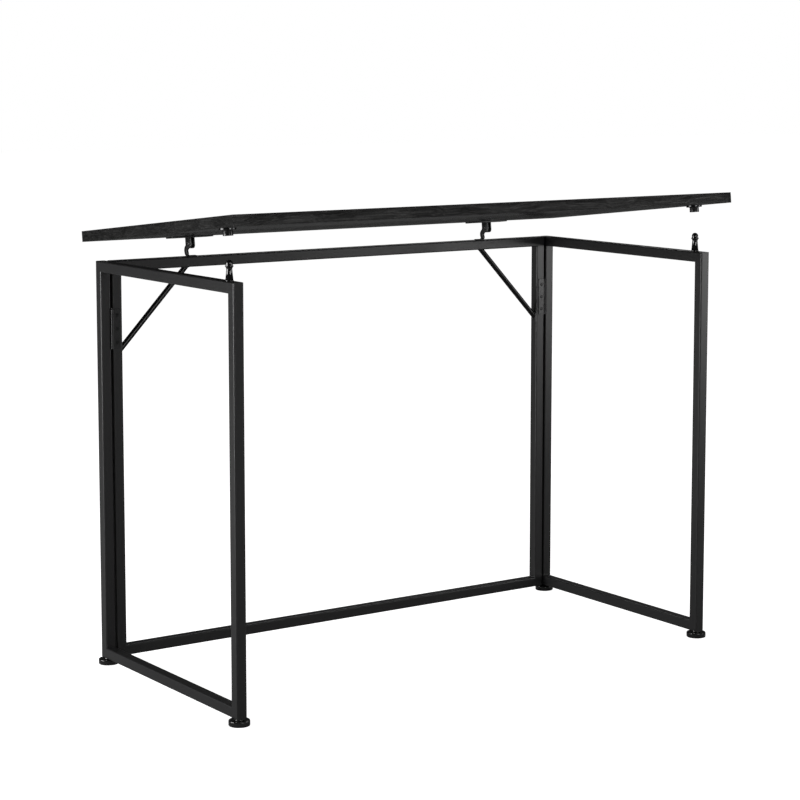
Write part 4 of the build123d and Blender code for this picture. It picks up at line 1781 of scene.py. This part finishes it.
@dataclass
class Socket:
    """Flanged cup on the underside that comes down over its stud."""

    side: str
    sign: int
    plane: BoardPlane
    flange_radius: float = 13.6 * MM
    flange_thickness: float = 3.2 * MM
    collar_radius: float = 8.1 * MM
    bore_radius: float = 6.0 * MM
    length: float = 11.8 * MM
    screw_ring: float = 10.9 * MM
    head_radius: float = 2.0 * MM
    screw_length: float = 12 * MM
    screws: int = 3
    edge: float = 0.5 * MM

    def profile(self) -> list[tuple[float, float]]:
        """Radius and height of the cup's closed profile, height counted away from the board."""
        edge = self.edge
        return [
            (self.bore_radius, 0.0), (self.flange_radius, 0.0),
            *arc((self.flange_radius - 1.0 * MM, self.flange_thickness - 1.0 * MM), 1.0 * MM, 0, 90, 6),
            (self.collar_radius + 0.8 * MM, self.flange_thickness),
            (self.collar_radius + 0.25 * MM, self.flange_thickness + 0.3 * MM),
            (self.collar_radius, self.flange_thickness + 0.9 * MM),
            *arc((self.collar_radius - edge, self.length - edge), edge, 0, 90, 4),
            *arc((self.bore_radius + edge, self.length - edge), edge, 90, 180, 4),
        ]

    def build(self, shop: Shop) -> None:
        """Turn the cup and drive its screws.

        Args:
            shop: Finishes and trees.
        """
        node = f"{self.side}_socket"
        low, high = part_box(f"{self.side}_locating_stud")
        stud = (low + high) / 2
        pivot_y = joint("top_lift")["pos_m"][1]
        centre = self.plane.place(stud.x, stud.y - pivot_y, self.plane.to_underside)
        mesh = mesh_from(node + "_turned", lathe(self.profile(), closed=True), shop.finishes.socket_plastic)
        sharpen(mesh, 50.0)
        turn = self.plane.matrix().to_3x3().to_4x4() @ Matrix.Rotation(math.pi, 4, "X")
        mesh.transform(Matrix.Translation(centre) @ turn)
        finish_piece(object_from(node + "_turned", mesh), "tabletop", [node])
        face = self.plane.to_underside - self.flange_thickness
        places = []
        for index in range(self.screws):
            angle = math.pi / 2 + math.tau * index / self.screws
            x = stud.x + self.screw_ring * math.cos(angle)
            y = stud.y - pivot_y - self.screw_ring * math.sin(angle)
            places.append((self.plane.place(x, y, face), self.plane.down()))
        drive_screws(shop, f"{self.side}_socket_screws", "tabletop", places,
                     self.head_radius, self.screw_length, 41)


# --------------------------------------------------------------------------- studio


@dataclass
class SoftBox:
    """One rectangular studio light."""

    name: str
    place: Colour
    target: Colour
    width: float
    height: float
    power: float

    def build(self) -> None:
        """Hang the light and aim it."""
        lamp = bpy.data.lights.new(self.name, "AREA")
        lamp.shape = "RECTANGLE"
        lamp.size, lamp.size_y = self.width, self.height
        lamp.energy = self.power
        holder = bpy.data.objects.new(self.name, lamp)
        holder.location = self.place
        aim = Vector(self.target) - Vector(self.place)
        holder.rotation_euler = aim.to_track_quat("-Z", "Y").to_euler()
        bpy.context.scene.collection.objects.link(holder)


@dataclass
class Studio:
    """Plain white surroundings, low soft light from the left and front, and the camera."""

    floor_size: float = 40.0
    camera_place: Colour = (-2.1778, -3.1092, 1.0188)
    camera_yaw: float = 34.674
    camera_pitch: float = 6.602
    lens: float = 100.52
    shift_up: float = -0.1
    dim: float = 0.02
    lights: tuple[SoftBox, ...] = (
        SoftBox("left_box", (-3.2, 0.9, 0.7), (0.0, 0.0, 0.35), 2.0, 1.2, 88.0),
        SoftBox("front_box", (-0.2, -4.2, 1.2), (0.0, 0.0, 0.4), 1.6, 1.2, 42.0),
        SoftBox("right_box", (3.2, -2.9, 0.6), (0.2, 0.0, 0.3), 1.8, 1.0, 22.0),
        SoftBox("high_box", (0.4, 0.6, 3.6), (0.0, 0.0, 0.4), 2.0, 1.2, 18.0),
        SoftBox("back_box", (2.6, 3.0, 3.2), (0.0, 0.0, 0.4), 1.6, 1.0, 14.0),
    )

    def build(self) -> None:
        """Build the floor, the world, the lights and the camera."""
        self.lay_floor()
        self.set_world()
        for light in self.lights:
            light.build()
        self.set_camera()
        bpy.context.scene.view_settings.view_transform = "Standard"

    def lay_floor(self) -> None:
        """Lay a plain pale floor."""
        build = bmesh.new()
        bmesh.ops.create_grid(build, x_segments=8, y_segments=8, size=self.floor_size / 2)
        material = bpy.data.materials.new("pale_floor")
        material.use_nodes = True
        graph = Graph(material.node_tree)
        nodes = material.node_tree.nodes
        seen = graph.node("ShaderNodeLightPath").outputs["Is Camera Ray"]
        glow = graph.node("ShaderNodeEmission", {"Color": (1.0, 1.0, 1.0, 1.0), "Strength": 1.0})
        paint = graph.node("ShaderNodeBsdfDiffuse", {"Color": (0.9, 0.9, 0.9, 1.0)})
        grey = graph.node("ShaderNodeBsdfDiffuse", {"Color": (0.45, 0.45, 0.45, 1.0)})
        bright = graph.node("ShaderNodeAddShader", {0: glow.outputs[0], 1: paint.outputs[0]})
        mixed = graph.node("ShaderNodeMixShader", {0: seen, 1: grey.outputs[0], 2: bright.outputs[0]})
        material.node_tree.links.new(mixed.outputs[0], nodes["Material Output"].inputs[0])
        nodes.remove(nodes["Principled BSDF"])
        floor = object_from("floor", mesh_from("floor", build, material, smooth=False))

    def set_world(self) -> None:
        """White surroundings to the eye, dim ones in reflections."""
        world = bpy.data.worlds.new("studio")
        bpy.context.scene.world = world
        world.use_nodes = True
        graph = Graph(world.node_tree)
        world.node_tree.nodes.clear()
        seen = graph.node("ShaderNodeLightPath").outputs["Is Camera Ray"]
        dim = graph.node("ShaderNodeBackground", {"Color": (1.0, 1.0, 1.0, 1.0), "Strength": self.dim})
        white = graph.node("ShaderNodeBackground", {"Color": (1.0, 1.0, 1.0, 1.0), "Strength": 1.0})
        mixed = graph.node("ShaderNodeMixShader", {0: seen, 1: dim.outputs[0], 2: white.outputs[0]})
        graph.node("ShaderNodeOutputWorld", {0: mixed.outputs[0]})

    def set_camera(self) -> None:
        """Set up the camera."""
        lens = bpy.data.cameras.new("camera")
        lens.lens = self.lens
        lens.shift_y = self.shift_up
        camera = bpy.data.objects.new("camera", lens)
        camera.location = self.camera_place
        camera.rotation_euler = (math.radians(90.0 - self.camera_pitch), 0.0, math.radians(-self.camera_yaw))
        bpy.context.scene.collection.objects.link(camera)
        bpy.context.scene.camera = camera


def main() -> None:
    """Build every sub-assembly in order and report it."""
    logging.basicConfig(level=logging.INFO, format="%(name)s: %(message)s")
    plane = BoardPlane()
    shop = Shop(Finishes(plane.tilt()), Makers())
    BackFrame().build(shop)
    for side, sign in zip(SIDES, (-1, 1)):
        SideWing(side, sign).build(shop)
        SideHinge(side, sign).build(shop)
    Tabletop(plane).build(shop)
    for side, sign in zip(SIDES, (-1, 1)):
        BoardHinge(side, sign, plane).build(shop)
        Socket(side, sign, plane).build(shop)
    shop.clear()
    Studio().build()
    log.info("size written")


if __name__ == "__main__":
    main()
